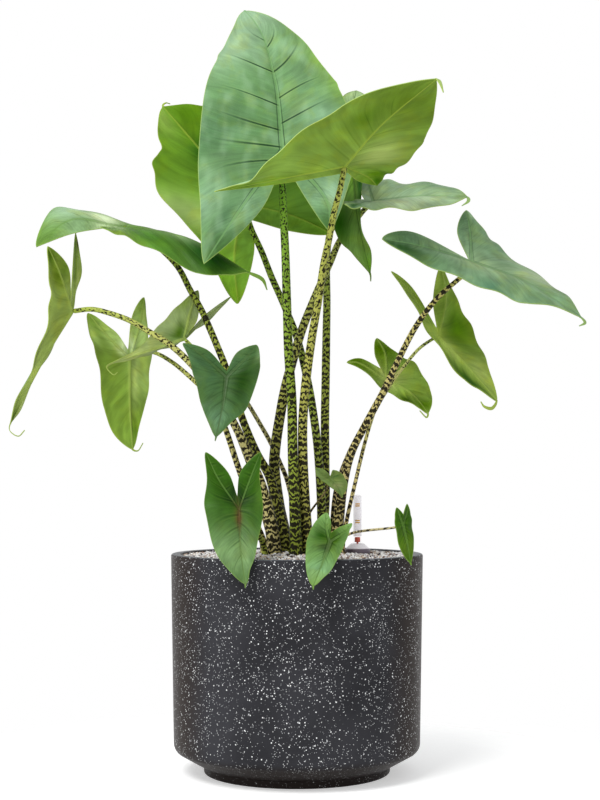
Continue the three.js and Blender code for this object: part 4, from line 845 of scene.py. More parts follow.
def tint_of(color, fact):
    """A face's colour: its ground colour and soft spots of others, many of them painted light and shade."""
    ground, *spots = color
    tint = np.tile(srgb(*ground), (len(fact["u"]), 1))
    for u, side, reach_u, reach_side, other in spots:
        near = ((fact["u"] - u) / reach_u) ** 2 + ((fact["side"] - side) / reach_side) ** 2
        share = np.exp(-near)[:, None]
        tint = tint * (1 - share) + np.array(srgb(*other)) * share
    return tint


# Petioles

# How much wider a petiole is where its sheath leaves the ground, and how high that reaches
SHEATH = (0.3, 16)
sheaths = {"far_left": (0.8, 130), "left_high": (0.35, 60), "right_high": (0.45, 30), "shelf": (0.35, 40)}

# How far the bands of a petiole loosen on the way up, where it isn't all the way
LOOSENING = {"right_high": 0.5, "far_left": 0.9, "left_high": 0.7, "back": 0.8, "shelf": 0.8}

# A petiole's colour between the bands, at its foot and at the joint
PETIOLE_COLORS = ((168, 176, 78), (140, 172, 60))
petiole_colors = {
    "crown": ((134, 146, 52), (100, 156, 40)),
    "canopy": ((158, 156, 74), (164, 172, 78)),
    "back": ((146, 158, 66), (112, 150, 34)),
    "hanging": ((146, 152, 62), (120, 150, 52)),
    "shelf": ((150, 150, 70), (146, 156, 76)),
    "right_high": ((186, 172, 112), (176, 170, 92)),
    "right_inner": ((196, 176, 120), (160, 172, 84)),
    "right_low": ((200, 178, 126), (164, 180, 92)),
    "left_low": ((190, 178, 116), (160, 176, 76)),
    "left_inner": ((184, 176, 104), (150, 170, 72)),
    "far_left": ((196, 184, 124), (160, 178, 70)),
    "left_high": ((150, 152, 68), (118, 146, 36)),
    "shield": ((190, 176, 124), (150, 160, 90)),
    "rim_leaf": ((196, 180, 136), (190, 180, 130)),
    "bud": ((128, 112, 66), (128, 118, 76)),
}

PETIOLE_SIDES = 18
PETIOLE_STEP = 4
SPAN_STEPS = 24
CAP_RINGS = 4
CAP_START = 0.9  # how far below the joint the cap begins, in radii
FIRST_SIDE = (0.3, 1, 0)
BAND_SEED = 7300  # how far apart the petioles' bands lie in the noise


def petiole_line(leaf):
    """Points at equal steps along a petiole from its foot to the joint, and its length."""
    x, y = leaf["petiole"][0][:2]
    marks = np.array([(x, y, PETIOLE_FOOT_HEIGHT), *leaf["petiole"], leaf["joint"]], float)
    line = smooth(marks, beyond(marks[1], marks[0]), beyond(marks[-2], marks[-1]),
                  [SPAN_STEPS] * (len(marks) - 1))
    reach = np.r_[0, np.cumsum(np.linalg.norm(np.diff(line, axis=0), axis=1))]
    places = np.linspace(0, reach[-1], int(reach[-1] / PETIOLE_STEP) + 1)
    return np.stack([np.interp(places, reach, line[:, k]) for k in range(3)], axis=1), reach[-1]


def petiole_radii(name, leaf, line, share):
    """The radius at each point of a petiole, thick at the foot and wider still in its sheath."""
    foot, half_way, top = leaf["radii"]
    radius = (half_way + (foot - half_way) * (1 - 2 * share).clip(0) ** FLARE
              + (top - half_way) * (2 * share - 1).clip(0))
    wider, reach = sheaths.get(name, SHEATH)
    return radius * (1 + wider * np.exp(-(line[:, 2] - FILL_HEIGHT).clip(0) / reach))


def sides_along(ahead):
    """A direction square to the line at each point, carried along without twisting."""
    side = unit(np.cross(ahead[0], FIRST_SIDE))
    sides = []
    for direction in ahead:
        side = unit(side - direction * (side @ direction))
        sides.append(side)
    return np.array(sides)


def petiole(name, leaf):
    """A leaf's stalk with a rounded end. Gives its centre line and radii."""
    line, length = petiole_line(leaf)
    share = np.arange(len(line)) / (len(line) - 1)
    radius = petiole_radii(name, leaf, line, share)
    kept = share * length < length - leaf["radii"][-1] * CAP_START
    line, radius, share = line[kept], radius[kept], share[kept]
    ahead = unit(np.gradient(line, axis=0))
    sides = sides_along(ahead)
    others = np.cross(ahead, sides)
    turns = np.arange(1, CAP_RINGS) / CAP_RINGS * np.pi / 2
    rings = np.r_[np.arange(len(line)), np.full(len(turns), len(line) - 1)]
    line = np.vstack([line, line[-1] + ahead[-1] * radius[-1] * np.sin(turns)[:, None]])
    radius = np.r_[radius, radius[-1] * np.cos(turns)]
    share = share[rings]
    angles = np.linspace(0, 2 * np.pi, PETIOLE_SIDES, endpoint=False)
    circle = (np.cos(angles)[:, None] * sides[rings][:, None]
              + np.sin(angles)[:, None] * others[rings][:, None])
    points = (line[:, None] + radius[:, None, None] * circle).reshape(-1, 3)
    mesh_piece(name + "_stalk", points, tube_faces(len(line)), [petiole_material], "petiole",
               [name + "_petiole"], petiole_attributes(name, radius, share, angles, length), crease=50)
    return line, radius


def tube_faces(rings):
    """The sides and the two ends of a tube whose points run ring by ring."""
    index = np.arange(rings * PETIOLE_SIDES).reshape(rings, PETIOLE_SIDES)
    closed = np.c_[index, index[:, 0]]
    a, b, c, d = closed[:-1, :-1], closed[:-1, 1:], closed[1:, 1:], closed[1:, :-1]
    return [*np.stack([a, b, c, d], -1).reshape(-1, 4), index[0][::-1], index[-1]]


def petiole_attributes(name, radius, share, angles, length):
    """A place round and along the petiole for its bands, the colour between them and its height."""
    x, y = ((radius[:, None] * turn(angles)).ravel() for turn in (np.cos, np.sin))
    height = np.repeat(share, PETIOLE_SIDES)
    seed = BAND_SEED * list(leaves).index(name)
    ground, end = (np.array(srgb(*color)) for color in petiole_colors.get(name, PETIOLE_COLORS))
    mixed = height[:, None] ** 2
    return {"around": np.c_[x, y, height * length + seed], "tint": ground * (1 - mixed) + end * mixed,
            "height": height * LOOSENING.get(name, 1)}


# Turned pieces

QUARTER = math.pi / 2
ON_AXIS = 1e-6
MOST_ROUND = 0.45  # how much of an edge a rounded corner may take
ROUND_POINTS = 4
PLANTER_SIDES = 160


def lathe(profile, sides, centre=(0, 0)):
    """A closed body of revolution from a profile of (radius, height), walked anticlockwise."""
    points, rows = [], []
    for radius, height in profile:
        if radius < ON_AXIS:
            rows.append([len(points)] * sides)
            points.append((*centre, height))
            continue
        rows.append([len(points) + k for k in range(sides)])
        points += [(x, y, height) for x, y in arc(centre, radius, 0, 4 * QUARTER, sides)[:-1]]
    if profile[0][0] > ON_AXIS:
        rows.append(rows[0])
    faces = []
    for low, high in zip(rows, rows[1:]):
        for k in range(sides):
            after = (k + 1) % sides
            corners = [low[k], low[after], high[after], high[k]]
            face = [c for j, c in enumerate(corners) if c not in corners[:j]]
            if len(face) > 2:
                faces.append(face)
    return np.array(points), faces


def rounded(profile, radius):
    """The profile with each inner corner turned into an arc-like curve of about this radius."""
    p = [np.array(point, float) for point in profile]
    made = [p[0]]
    for before, corner, after in zip(p, p[1:], p[2:]):
        reach = min(radius, *(np.linalg.norm(other - corner) * MOST_ROUND for other in (before, after)))
        start, end = (corner + unit(other - corner) * reach for other in (before, after))
        for t in np.linspace(0, 1, ROUND_POINTS):
            made.append(start * (1 - t) ** 2 + corner * 2 * t * (1 - t) + end * t * t)
    return [tuple(point) for point in [*made, p[-1]]]


def arc(centre, radius, start, end, steps=8):
    """Points of an arc, anticlockwise."""
    angles = np.linspace(start, end, steps + 1)
    return [(centre[0] + radius * math.cos(a), centre[1] + radius * math.sin(a)) for a in angles]


INNER_RADIUS = RIM_RADIUS - RIM_WIDTH
FILL_RADIUS = INNER_RADIUS - GAP
INNER_WALL = [
    (0, FLOOR_HEIGHT),
    (FLOOR_RADIUS, FLOOR_HEIGHT),
    (BODY_FOOT_RADIUS - RIM_WIDTH, INNER_SHOULDER_HEIGHT),
    (INNER_RADIUS, FILL_HEIGHT),
]


def planter():
    """The planter's shell with its rounded rim, its shoulder and its narrower foot."""
    rim_arc = RIM_HEIGHT - RIM_ROUND
    profile = [
        (0, 0),
        *arc((FOOT_RADIUS - FOOT_ROUND, FOOT_ROUND), FOOT_ROUND, -QUARTER, 0),
        (FOOT_RADIUS, FOOT_HEIGHT),
        *arc((BODY_FOOT_RADIUS - SHOULDER_ROUND, SHOULDER_HEIGHT), SHOULDER_ROUND, -SHOULDER_SLOPE, 0),
        *arc((RIM_RADIUS - RIM_ROUND, rim_arc), RIM_ROUND, 0, QUARTER),
        *arc((INNER_RADIUS + RIM_ROUND, rim_arc), RIM_ROUND, QUARTER, 2 * QUARTER),
        *INNER_WALL[::-1],
    ]
    mesh_piece("terrazzo_planter", *lathe(profile, PLANTER_SIDES), [terrazzo_material], "terrazzo",
               ["planter"], crease=40)


# Substrate

BED_SIDES = 96
BED_RINGS = 24
BED_DROP = 1.2  # from the stones' level down to the bed
STONE_STEP = 3.5
STONE_ROW = 0.866  # between two rows of a honeycomb, in steps
STONE_SHIFT = 0.22  # how far a stone strays from its place, in steps
STONE_RADII = (1.35, 2.35)
STONE_RISES = (0.1, 0.75)  # from the bed to a stone's centre, in its radii
STONE_STRETCHES = (0.75, 1.2)
STONE_CORNERS = (0.85, 1.1)
STONE_SEED = 17
STEM_ZONE = 12  # how far above and below the ground a petiole keeps stones away
STEM_CLEARANCE = 0.75  # in a stone's radii
COLLAR_CLEARANCE = 3.5


def ground_height(x, y):
    """The substrate's height at a place, a little higher in the middle."""
    return FILL_HEIGHT + MOUND_HEIGHT * np.exp(-(x * x + y * y) / MOUND_RADIUS ** 2)


def bed():
    """The dark bed under the granules, filling the planter."""
    wall = [(max(r - GAP, 0), z + GAP) for r, z in INNER_WALL[:-1]]
    top = [(r, float(ground_height(r, 0)) - BED_DROP) for r in np.linspace(FILL_RADIUS, 0, BED_RINGS)]
    mesh_piece("substrate_bed", *lathe([*wall, *top], BED_SIDES), [bed_material], "granules",
               ["substrate"], crease=50)


def stone_places(draw, stems):
    """Where the stones lie and their sizes, on a shaken honeycomb clear of petioles and indicator."""
    columns = range(int(2 * FILL_RADIUS / STONE_STEP) + 1)
    rows = range(int(2 * FILL_RADIUS / (STONE_STEP * STONE_ROW)) + 1)
    places = np.array([(-FILL_RADIUS + (i + 0.5 * (j % 2)) * STONE_STEP,
                        -FILL_RADIUS + j * STONE_STEP * STONE_ROW) for j in rows for i in columns])
    places += draw.normal(0, STONE_STEP * STONE_SHIFT, places.shape)
    size = draw.uniform(*STONE_RADII, len(places))
    keep = np.hypot(*places.T) < FILL_RADIUS - size
    keep &= np.hypot(*(places - INDICATOR_PLACE).T) > COLLAR_RADIUS + COLLAR_CLEARANCE
    for line, radius in stems:
        near = np.abs(line[:, 2] - FILL_HEIGHT - MOUND_HEIGHT / 2) < STEM_ZONE
        for centre, reach in zip(line[near][::2], radius[near][::2]):
            keep &= np.hypot(*(places - centre[:2]).T) > reach + size * STEM_CLEARANCE
    return places[keep], size[keep]


def granules(stems):
    """Rounded stones packed over the bed."""
    draw = np.random.default_rng(STONE_SEED)
    places, size = stone_places(draw, stems)
    count = len(places)
    heights = ground_height(*places.T) - BED_DROP + size * draw.uniform(*STONE_RISES, count)
    shape, shape_faces = icosahedron()
    turns = unit(draw.normal(size=(count, 4)))
    stretch = draw.uniform(*STONE_STRETCHES, (count, 1, 3)) * size[:, None, None]
    uneven = draw.uniform(*STONE_CORNERS, (count, len(shape), 1))
    stones = turned_by(turns, shape[None] * uneven * stretch)
    points = (stones + np.c_[places, heights][:, None]).reshape(-1, 3)
    faces = (shape_faces[None] + (np.arange(count) * len(shape))[:, None, None]).reshape(-1, 3)
    tone = np.repeat(draw.uniform(0, 1, count), len(shape))
    mesh_piece("substrate_granules", points, faces, [granule_material], "granules", ["substrate"],
               {"tone": tone}, crease=75)


def icosahedron():
    """The points and triangles of a regular body of 20 faces, of radius 1."""
    ratio = (1 + 5 ** 0.5) / 2
    corners = [(s, t * ratio, 0) for s in (-1, 1) for t in (-1, 1)]
    points = unit(np.array([p[k:] + p[:k] for k in range(3) for p in corners], float))
    reach = np.linalg.norm(points[:, None] - points[None], axis=2)
    joined = np.isclose(reach, reach[0, 1:].min())
    faces = []
    for a, b, c in itertools.combinations(range(len(points)), 3):
        if joined[a, b] and joined[b, c] and joined[a, c]:
            outward = np.dot(np.cross(points[b] - points[a], points[c] - points[a]), points[a]) > 0
            faces.append((a, b, c) if outward else (a, c, b))
    return points, np.array(faces)


def turned_by(quaternions, points):
    """Each stone's points turned by its own unit quaternion."""
    scalar, axis = quaternions[:, None, :1], quaternions[:, None, 1:]
    once = np.cross(np.broadcast_to(axis, points.shape), points)
    return points + 2 * (scalar * once + np.cross(np.broadcast_to(axis, points.shape), once))


# Water-level indicator

INDICATOR_SIDES = 48
ROD_SIDES = 32
SHAFT_BOTTOM = 2
COLLAR_ROUND = 1.2
CONE_LIP = 2
CONE_EDGE = 1
TUBE_ROUND = 2
TUBE_LID = 1.5
ROD_ROUND = 0.8
DASH_ARC = math.radians(32)
DASH_STEPS = 6
DASH_HEIGHT = 1.4
DASH_RISE = 2.4
DASH_REACHES = (0.02, 0.2)  # how far a dash's two faces stand off the tube
DASH_PLACES = {"indicator_mark_high": 312, "indicator_mark_low": 292}


def dashes(low):
    """Two short marks, one above the other, on the front of the tube."""
    points, faces = [], []
    near, far = (TUBE_RADIUS + reach for reach in DASH_REACHES)
    for foot in (low, low + DASH_RISE):
        start = len(points)
        for angle in np.linspace(-QUARTER - DASH_ARC, -QUARTER + DASH_ARC, DASH_STEPS + 1):
            for radius, height in ((near, 0), (far, 0), (far, DASH_HEIGHT), (near, DASH_HEIGHT)):
                points.append((INDICATOR_PLACE[0] + radius * math.cos(angle),
                               INDICATOR_PLACE[1] + radius * math.sin(angle), foot + height))
        for here in range(start, start + 4 * DASH_STEPS, 4):
            for k in range(4):
                follow = (k + 1) % 4
                faces.append([here + k, here + follow, here + 4 + follow, here + 4 + k])
        last = start + 4 * DASH_STEPS
        faces += [[start + 3, start + 2, start + 1, start], [last, last + 1, last + 2, last + 3]]
    return np.array(points), faces


def indicator():
    """The collar on its shaft, the clear tube with its cone and marks, and the float with its rod."""
    foot = FLOOR_HEIGHT + GAP
    low, high = COLLAR_HEIGHT
    bore = SHAFT_RADIUS - SHAFT_WALL
    shaft = [(0, foot), (SHAFT_RADIUS, foot), (SHAFT_RADIUS, low), (COLLAR_RADIUS, low),
             (COLLAR_RADIUS, high), (bore, high), (bore, foot + SHAFT_BOTTOM), (0, foot + SHAFT_BOTTOM)]
    mesh_piece("indicator_collar", *lathe(rounded(shaft, COLLAR_ROUND), INDICATOR_SIDES, INDICATOR_PLACE),
               [black_material], "indicator_black", ["indicator_shaft"])
    foot = high + GAP
    inside, lid = TUBE_RADIUS - TUBE_WALL, TUBE_TOP - TUBE_LID
    clear = [(CONE_RADIUS - CONE_LIP, foot), (CONE_RADIUS, foot), (CONE_RADIUS, foot + CONE_EDGE),
             (TUBE_RADIUS, CONE_TOP), (TUBE_RADIUS, TUBE_TOP - TUBE_ROUND),
             (TUBE_RADIUS - TUBE_ROUND, TUBE_TOP), (0, TUBE_TOP), (0, lid), (inside, lid),
             (inside, CONE_TOP - TUBE_WALL)]
    mesh_piece("indicator_window", *lathe(clear, INDICATOR_SIDES, INDICATOR_PLACE), [clear_material],
               "indicator_clear", ["indicator_tube"])
    for name, low in DASH_PLACES.items():
        mesh_piece(name, *dashes(low), [mark_material], "indicator_clear")
    foot = FLOOR_HEIGHT + GAP + SHAFT_BOTTOM + GAP
    low, high = MARKER_HEIGHT
    rod = [(0, foot), (FLOAT_RADIUS, foot), (FLOAT_RADIUS, foot + FLOAT_HEIGHT),
           (ROD_RADIUS, foot + FLOAT_HEIGHT), (ROD_RADIUS, low), (MARKER_RADIUS, low),
           (MARKER_RADIUS, high), (0, high)]
    mesh_piece("indicator_marker", *lathe(rounded(rod, ROD_ROUND), ROD_SIDES, INDICATOR_PLACE),
               [red_material], "indicator_red", ["indicator_float"])


# Leaf materials

# How strongly each face shows its gloss, streaks, painted light and shade of its folds, veins and
# # grain. The veins' relief is sunk on the upper face and raised on the under face, and depth is the
# # strength of the whole relief.
FACES = {
    "upper": dict(gloss=0.1, streaks=0.1, fold_shading=0.1, veins=0.95, relief=-1, grain=0.35, depth=0.7),
    "under": dict(gloss=0.04, streaks=0.05, fold_shading=0.13, veins=0.45, relief=0.6, grain=0.15, depth=0.2),
}
# A painted sheen for silvery blades: soft pale patches that stand for reflected sky light, and their scale
SHEEN = (160, 196, 156)
SHEEN_SCALE = (60, 60, 18)
WARMTH = (1.1, 1.02, 0.8)
VEIN_WIDTHS = (1.6, 0.9)  # from a lateral vein's middle, at the spine and at the margin
VEIN_HIGHLIGHT_OFFSET = 2.1  # how far from a vein's middle the painted highlight beside it runs
VEINS_END = (3.75, 3.4)  # the rows over which the lateral veins fade towards the tip
SMALL_VEINS = 6  # to a lateral vein
NET_SCALE = 330


def vein_lines(m, place, phase, pitch, w, u, shown):
    """Shares from 0 to 1 of the lateral veins, the painted highlight beside them, the small veins and the
    net.
    """

    def off(step):
        """Millimetres to the nearest whole phase, counting step phases to a vein."""
        scaled = phase * step
        return abs(scaled - m.math("ROUND", scaled)) * (pitch / step)

    nearest = off(1)
    fade = m.spread(w, 0.9, 0.2) * shown * m.spread(u, *VEINS_END)
    width, margin_width = VEIN_WIDTHS
    lateral = m.spread(nearest / (w * (margin_width - width) + width), 1, 0.4) * fade
    vein_highlight = m.spread(abs(nearest - VEIN_HIGHLIGHT_OFFSET), 1.0, 0.1) * fade
    small = m.spread(off(SMALL_VEINS), 0.5, 0.05) * 0.35
    net = m.spread(m.cells(place, NET_SCALE, ["Distance"], "DISTANCE_TO_EDGE"), 0.09, 0.0)
    return lateral, vein_highlight, small, net


def leaf_ground(m, slot, face, place, phase, w):
    """The blade's colour, mottled, drawn out along the veins and warmer in places, with painted light
    and shade of its folds and, on silvery blades, a painted sheen.
    """

    def along_veins(per_vein, outward, detail, share):
        """Noise drawn out along the lateral veins, as a factor about 1."""
        drawn = m.node("CombineXYZ", {"X": phase * per_vein, "Y": w * outward,
                                      "Z": m.parts(place)[2] * 12}, 0)
        return m.spread(m.noise(drawn, 1, detail, 0.3), 0.3, 0.7, 1 - share, 1 + share)

    mottle = m.spread(m.noise(place, 26, 2), 0.3, 0.7, 0.9, 1.1)
    streaks = along_veins(9, 2.6, 3, FACES[face]["streaks"])
    # Painted light and shade of the blade's folds, drawn out along the veins
    fold_shading = along_veins(1.7, 1.9, 1, FACES[face]["fold_shading"])
    color = m.scaled(m.attribute("tint", "Color"), mottle * (streaks * fold_shading))
    # A painted sheen: soft pale patches of reflected light on the silvery blades
    if slot == "leaf_silver":
        sheen = m.spread(m.noise(m.times(place, SHEEN_SCALE), 1, 1), 0.45, 0.8) * 0.3
        color = m.mix(sheen, color, SHEEN)
    warm = m.times(color, WARMTH)
    return m.mix(m.spread(m.noise(place, 45, 3, 0.4), 0.45, 0.7), color, warm)


def leaf_material(slot, face, edge, line, roughness):
    """One face of a blade. edge is its edge line's colour, and line how much darker its lines are."""
    look = FACES[face]
    m = Material(f"{slot}_{face}", Specular_IOR_Level=look["gloss"])
    place = m.position()
    phase, pitch, w = m.parts(m.attribute("vein", "Vector"))
    rib_share, edge_mm, u = m.parts(m.attribute("place", "Vector"))
    lines_shown, rib_shown, edge_shown = m.parts(m.attribute("shown", "Vector"))
    lateral, vein_highlight, small, net = vein_lines(m, place, phase, pitch, w, u, lines_shown)
    middle = m.spread(rib_share, 1.2, 0.7) * rib_shown
    gutter = m.spread(abs(rib_share - 1.4), 0.45, 0.05) * m.spread(abs(u - 2), 1.6, 0.2)
    border = m.spread(edge_mm, 1.1, 0.3) * edge_shown

    color = leaf_ground(m, slot, face, place, phase, w)
    dark = m.times(color, line)
    # The painted highlight's colour, drawn towards the edge line's
    vein_highlight_color = m.mix(0.35, color, edge)
    color = m.mix(small * 0.22, color, dark)
    color = m.mix(net * 0.06, color, dark)
    # A painted highlight beside each lateral vein, on the upper face only
    if face == "upper":
        color = m.mix(vein_highlight * 0.35, color, vein_highlight_color)
    color = m.mix(lateral * look["veins"], color, dark)
    if face == "upper":
        color = m.mix(gutter * rib_shown * 1.3, color, dark)
    color = m.mix(middle, color, m.attribute("rib_tint", "Color"))
    color = m.mix(border, color, edge)

    grain = m.noise(place, 140, 4)
    height = (lateral + small * 0.3) * look["relief"] + grain * look["grain"] - net * 0.1
    if face == "upper":
        height = height - gutter * 0.8
    return m.finish(Base_Color=color, Normal=m.bump(height, look["depth"], 0.5),
                    Roughness=m.spread(grain, 0.2, 0.8, roughness - 0.05, roughness + 0.07))


# Petiole material

BAND_PITCH = 6.8
BAND_COLORS = ((6, 5, 2), (30, 24, 8))


def petiole_bands():
    """Bands across the petiole that wander and break up, and loosen into blotches upwards."""
    m = Material("banded_petiole", Specular_IOR_Level=0.12)
    around = m.attribute("around", "Vector")
    height = m.attribute("height", "Fac")

    def noise(across, along, detail=2.0, distortion=0.0):
        """Noise about 0 with its own scale round the petiole and along it."""
        return m.noise(m.times(around, (across, across, along)), 1, detail, distortion) - 0.5

    turns = m.parts(around)[2] * (1 / BAND_PITCH) + noise(0.10, 0.05) * 2.4 + noise(0.30, 0.18) * 1.7
    crest = m.math("COSINE", turns * (2 * math.pi)) * 0.5 + 0.5 + noise(0.28, 0.28, 1) * 1.3
    blotches = noise(0.42, 0.32, 1, 0.4) * 2.8 + 0.52
    crest = crest + (blotches - crest) * m.spread(height, 0.3, 0.8, 0.0, 0.8)
    dark = m.spread(crest - m.spread(height, 0.0, 0.9, 0.25, 0.64), -0.12, 0.12)
    fine = noise(1.6, 1.6, 3) + 0.5
    ground = m.scaled(m.attribute("tint", "Color"), m.spread(fine, 0.3, 0.7, 0.85, 1.12))
    band = m.mix(fine, *BAND_COLORS)
    return m.finish(Base_Color=m.mix(dark * 0.98, ground, band),
                    Roughness=m.spread(fine, 0.2, 0.8, 0.42, 0.56),
                    Normal=m.bump(noise(1.2, 0.05) + dark * 0.2, 0.4, 0.3))


# Terrazzo. Places in this material are in metres.

TERRAZZO_GROUND = ((37, 37, 40), (51, 51, 55))
# All but the grain below are painted light and shade: a painted reflection and shade at the sides, painted
# shade on the foot and a painted highlight on the rim's top, with the ranges where each begins
TERRAZZO_SIDE_REFLECTION_SHADE = (40, 31, 25)
TERRAZZO_GRAIN = (92, 92, 96)
TERRAZZO_FOOT_SHADE = (27, 20, 16)
TERRAZZO_RIM_HIGHLIGHT = (120, 124, 130)
SIDE_REFLECTION_SHADE_FROM = (0.095, 0.135)
FOOT_SHADE_FROM = (0.034, 0.022)
RIM_HIGHLIGHT_FROM = (0.2562, 0.2568)
CHIPS = (  # cells to a metre, a chip's radius in cells, how many cells are bare, and the colours
    (330, 0.27, 0.76, ((0, (250, 252, 252)), (0.5, (206, 208, 210)), (0.8, (160, 160, 160)))),
    (600, 0.29, 0.68, ((0, (200, 202, 204)), (0.4, (238, 240, 240)), (0.8, (120, 120, 122)))),
)


def terrazzo():
    """A dark ground with pale chips that gather in places, and painted light and shade: a darker brown
    painted reflection at the left and right sides, painted shade on the foot and a painted highlight
    along the rim's top.
    """
    m = Material("terrazzo", Specular_IOR_Level=0.03)
    place = m.position()
    x, _, z = m.parts(place)
    clouds = m.noise(place, 14, 4)
    grain = m.noise(place, 900, 3)
    # Painted shade on the foot under the body: it darkens the ground and dims the chips there
    foot = m.spread(z, *FOOT_SHADE_FROM) * 0.85
    color = m.mix(m.spread(clouds, 0.3, 0.7), *TERRAZZO_GROUND)
    # Painted reflection and shade: a darker brown towards the pot's left and right sides
    color = m.mix(m.spread(abs(x), *SIDE_REFLECTION_SHADE_FROM, 0, 0.9), color, TERRAZZO_SIDE_REFLECTION_SHADE)
    color = m.mix(grain * 0.12, color, TERRAZZO_GRAIN)
    color = m.mix(foot, color, TERRAZZO_FOOT_SHADE)
    gathered = (m.noise(place, 24, 2) - 0.5) * 0.7
    for scale, size, bare, palette in CHIPS:
        distance, own = m.cells(place, scale, ["Distance", "Color"])
        # A cell's own colour is where its point lies in the cell, so the choice is hashed once more
        pick, hue, _ = m.parts(m.node("TexWhiteNoise", {"Vector": own}, "Color"))
        chip = m.spread(distance, size, size * 0.7) * m.math("GREATER_THAN", gathered + pick, bare)
        color = m.mix(chip * (foot * -0.9 + 1), color, m.ramp(hue, palette))
    # A painted highlight along the top of the rim
    color = m.mix(m.spread(z, *RIM_HIGHLIGHT_FROM) * 0.5, color, TERRAZZO_RIM_HIGHLIGHT)
    return m.finish(Base_Color=color, Roughness=m.spread(grain, 0.2, 0.8, 0.3, 0.42),
                    Normal=m.bump(clouds * 0.5 + grain, 0.2, 0.3))


# Other materials

STONE_COLORS = ((0, (248, 246, 244)), (0.3, (186, 176, 170)), (0.4, (120, 92, 78)), (0.5, (226, 224, 228)),
                (0.68, (60, 48, 44)), (0.78, (172, 168, 174)), (0.88, (214, 192, 172)))
STONE_PORES = (70, 56, 48)
PLASTIC_COLORS = ((238, 235, 240), (246, 243, 248))
FLOOR_COLORS = ((244, 244, 243), (248, 248, 247))
WHITE = (255, 255, 255)
MARKER_WINDOW = 271.5  # the height round which the tube is quite clear


def granule():
    """Rough mineral stones, each of one colour."""
    m = Material("granules", Specular_IOR_Level=0.3, Roughness=0.85)
    pores = m.noise(m.position(), 1300, 3)
    stone = m.ramp(m.attribute("tone", "Fac"), STONE_COLORS)
    color = m.mix(m.spread(pores, 0.4, 0.7, 0.0, 0.3), stone, STONE_PORES)
    return m.finish(Base_Color=color, Normal=m.bump(pores, 0.6, 0.3))


def plain(name, dark, light, scale, roughness, bump_mm):
    """A moulded or earthy surface between two near colours."""
    m = Material(name)
    grain = m.noise(m.position(), scale, 4)
    return m.finish(Base_Color=m.mix(grain, dark, light),
                    Roughness=m.spread(grain, 0.2, 0.8, roughness - 0.06, roughness + 0.06),
                    Normal=m.bump(grain, 0.3, bump_mm))


def clear_plastic():
    """Milky plastic, clearer up the tube and quite clear round the red marker, with a faint painted glow.
    """
    # The faint emission is a painted glow that brightens the plastic; it is no lamp
    m = Material("clear_plastic", Specular_IOR_Level=0.3, Emission_Strength=0.12,
                 Emission_Color=(255, 253, 255))
    place = m.position()
    haze = m.noise(place, 400, 2)
    from_marker = m.parts(place)[2] * (1 / MM) - MARKER_WINDOW
    clear = m.spread(abs(from_marker), 3.5, 5.5, 0.05, 1)
    return m.finish(Base_Color=m.mix(haze, *PLASTIC_COLORS),
                    Roughness=m.spread(haze, 0.3, 0.7, 0.4, 0.5),
                    Alpha=clear * m.spread(from_marker, -6, 3, 0.75, 0.4))


def floor_material():
    """Pale, and fading out before the floor's edge."""
    m = Material("pale_floor", Specular_IOR_Level=0.1, Roughness=0.9, Emission_Strength=0.4,
                 Emission_Color=WHITE)
    place = m.position()
    away = m.node("VectorMath", {0: place}, "Value", operation="LENGTH")
    return m.finish(Base_Color=m.mix(m.noise(place, 120, 2), *FLOOR_COLORS),
                    Alpha=m.spread(away, 0.2, 0.5, 1.0, 0.0))


LEAF_FINISHES = {  # the edge line's colour, how much darker the lines are, roughness
    "leaf_silver": ((166, 190, 100), (0.12, 0.20, 0.16), 0.42),
    "leaf_sunlit": ((186, 196, 84), (0.45, 0.55, 0.25), 0.5),
    "leaf_green": ((140, 170, 76), (0.36, 0.44, 0.30), 0.44),
    "leaf_olive": ((160, 176, 78), (0.50, 0.60, 0.30), 0.5),
    "leaf_dark": ((110, 132, 56), (0.45, 0.52, 0.36), 0.42),
}
leaf_materials = {(slot, face): leaf_material(slot, face, edge, line, roughness)
                  for slot, (edge, line, roughness) in LEAF_FINISHES.items() for face in FACES}
petiole_material = petiole_bands()
terrazzo_material = terrazzo()
granule_material = granule()
bed_material = plain("substrate_bed", (40, 32, 26), (72, 58, 46), 500, 0.9, 0.2)
rhizome_material = plain("rhizome_bark", (70, 50, 34), (112, 84, 58), 90, 0.85, 1.0)
black_material = plain("black_plastic", (98, 86, 98), (120, 108, 120), 700, 0.42, 0.05)
red_material = plain("red_plastic", (206, 62, 24), (220, 78, 34), 500, 0.45, 0.05)
mark_material = plain("yellow_mark", (222, 158, 24), (232, 172, 40), 500, 0.5, 0.05)
clear_material = clear_plastic()

# The plant
for leaf_name, leaf_marks in leaves.items():
    leaf_marks["name"] = leaf_name
    leaf_marks["veins"] = veins.get(leaf_name, VEINS)
    blade(leaf_name, leaf_marks)
plant_stems = [petiole(leaf_name, leaf_marks) for leaf_name, leaf_marks in leaves.items()]
planter()
bed()
granules(plant_stems)
indicator()
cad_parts["rhizome"].data.materials.clear()
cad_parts["rhizome"].data.materials.append(rhizome_material)

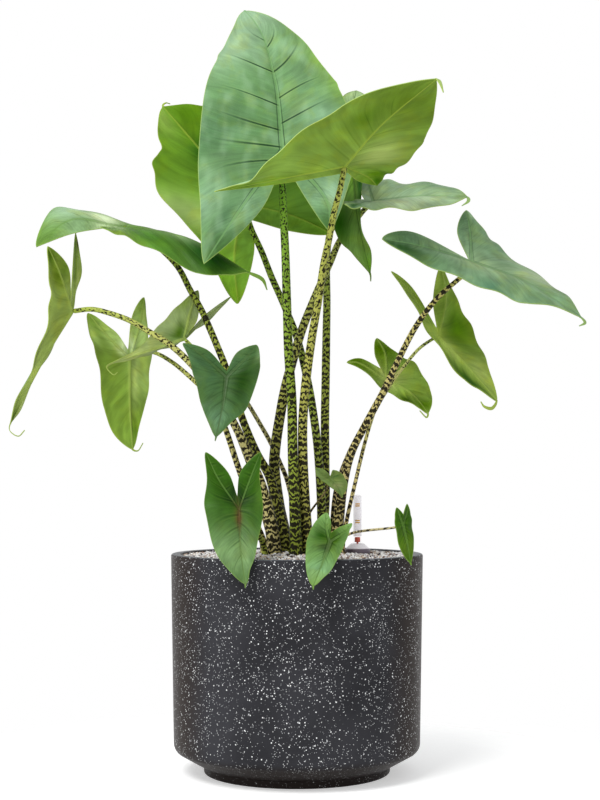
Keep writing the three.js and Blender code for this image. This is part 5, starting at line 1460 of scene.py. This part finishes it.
# Floor, light and camera. Lengths are in metres from here on.
STAGE_RADIUS = 0.8
SKY_STOPS = ((0.30, (1, 1, 1)), (0.75, (0.42, 0.43, 0.45)))  # in linear light
CAMERA_PLACE = (0.0036, -1.9, 0.356)
CAMERA_TILT = 2.52
PHOTO_HEIGHT = 800
FOCAL_LENGTH = 1590  # in pixels of the photograph
SENSOR = 36


def studio_sky():
    """An even white surround that darkens towards the top."""
    world = bpy.data.worlds.new("studio")
    bpy.context.scene.world = world
    world.use_nodes = True
    nodes, links = world.node_tree.nodes, world.node_tree.links
    background = nodes["Background"]
    place, split, fade = (nodes.new("ShaderNode" + kind)
                          for kind in ("TexCoord", "SeparateXYZ", "ValToRGB"))
    links.new(place.outputs["Generated"], split.inputs[0])
    links.new(split.outputs["Z"], fade.inputs["Fac"])
    links.new(fade.outputs["Color"], background.inputs["Color"])
    for element, (height, color) in zip(fade.color_ramp.elements, SKY_STOPS):
        element.position = height
        element.color = (*color, 1)


def softbox(name, place, target, size, power):
    """A round soft light that looks at its target."""
    light = bpy.data.lights.new(name, "AREA")
    light.shape, light.size, light.energy = "DISK", size, power
    lamp = bpy.data.objects.new(name, light)
    bpy.context.scene.collection.objects.link(lamp)
    lamp.location = place
    direction = unit(np.subtract(target, place))
    yaw, tilt = math.atan2(direction[1], direction[0]), math.acos(-direction[2])
    lamp.rotation_euler = (tilt, 0, yaw - QUARTER)


bpy.ops.mesh.primitive_circle_add(vertices=96, radius=STAGE_RADIUS, fill_type="NGON")
floor = bpy.context.object
floor.name = "floor"
floor.data.materials.append(floor_material())

studio_sky()
softbox("key", (-1.0, -1.5, 2.3), (0, 0, 0.5), 1.2, 42)
softbox("side", (-2.0, -0.9, 0.7), (0, 0, 0.4), 0.9, 6)

camera = bpy.data.objects.new("camera", bpy.data.cameras.new("camera"))
bpy.context.scene.collection.objects.link(camera)
camera.location = CAMERA_PLACE
camera.rotation_euler = (math.radians(90 + CAMERA_TILT), 0, 0)
camera.data.lens = FOCAL_LENGTH / PHOTO_HEIGHT * SENSOR
bpy.context.scene.camera = camera
bpy.context.scene.view_settings.view_transform = "Standard"
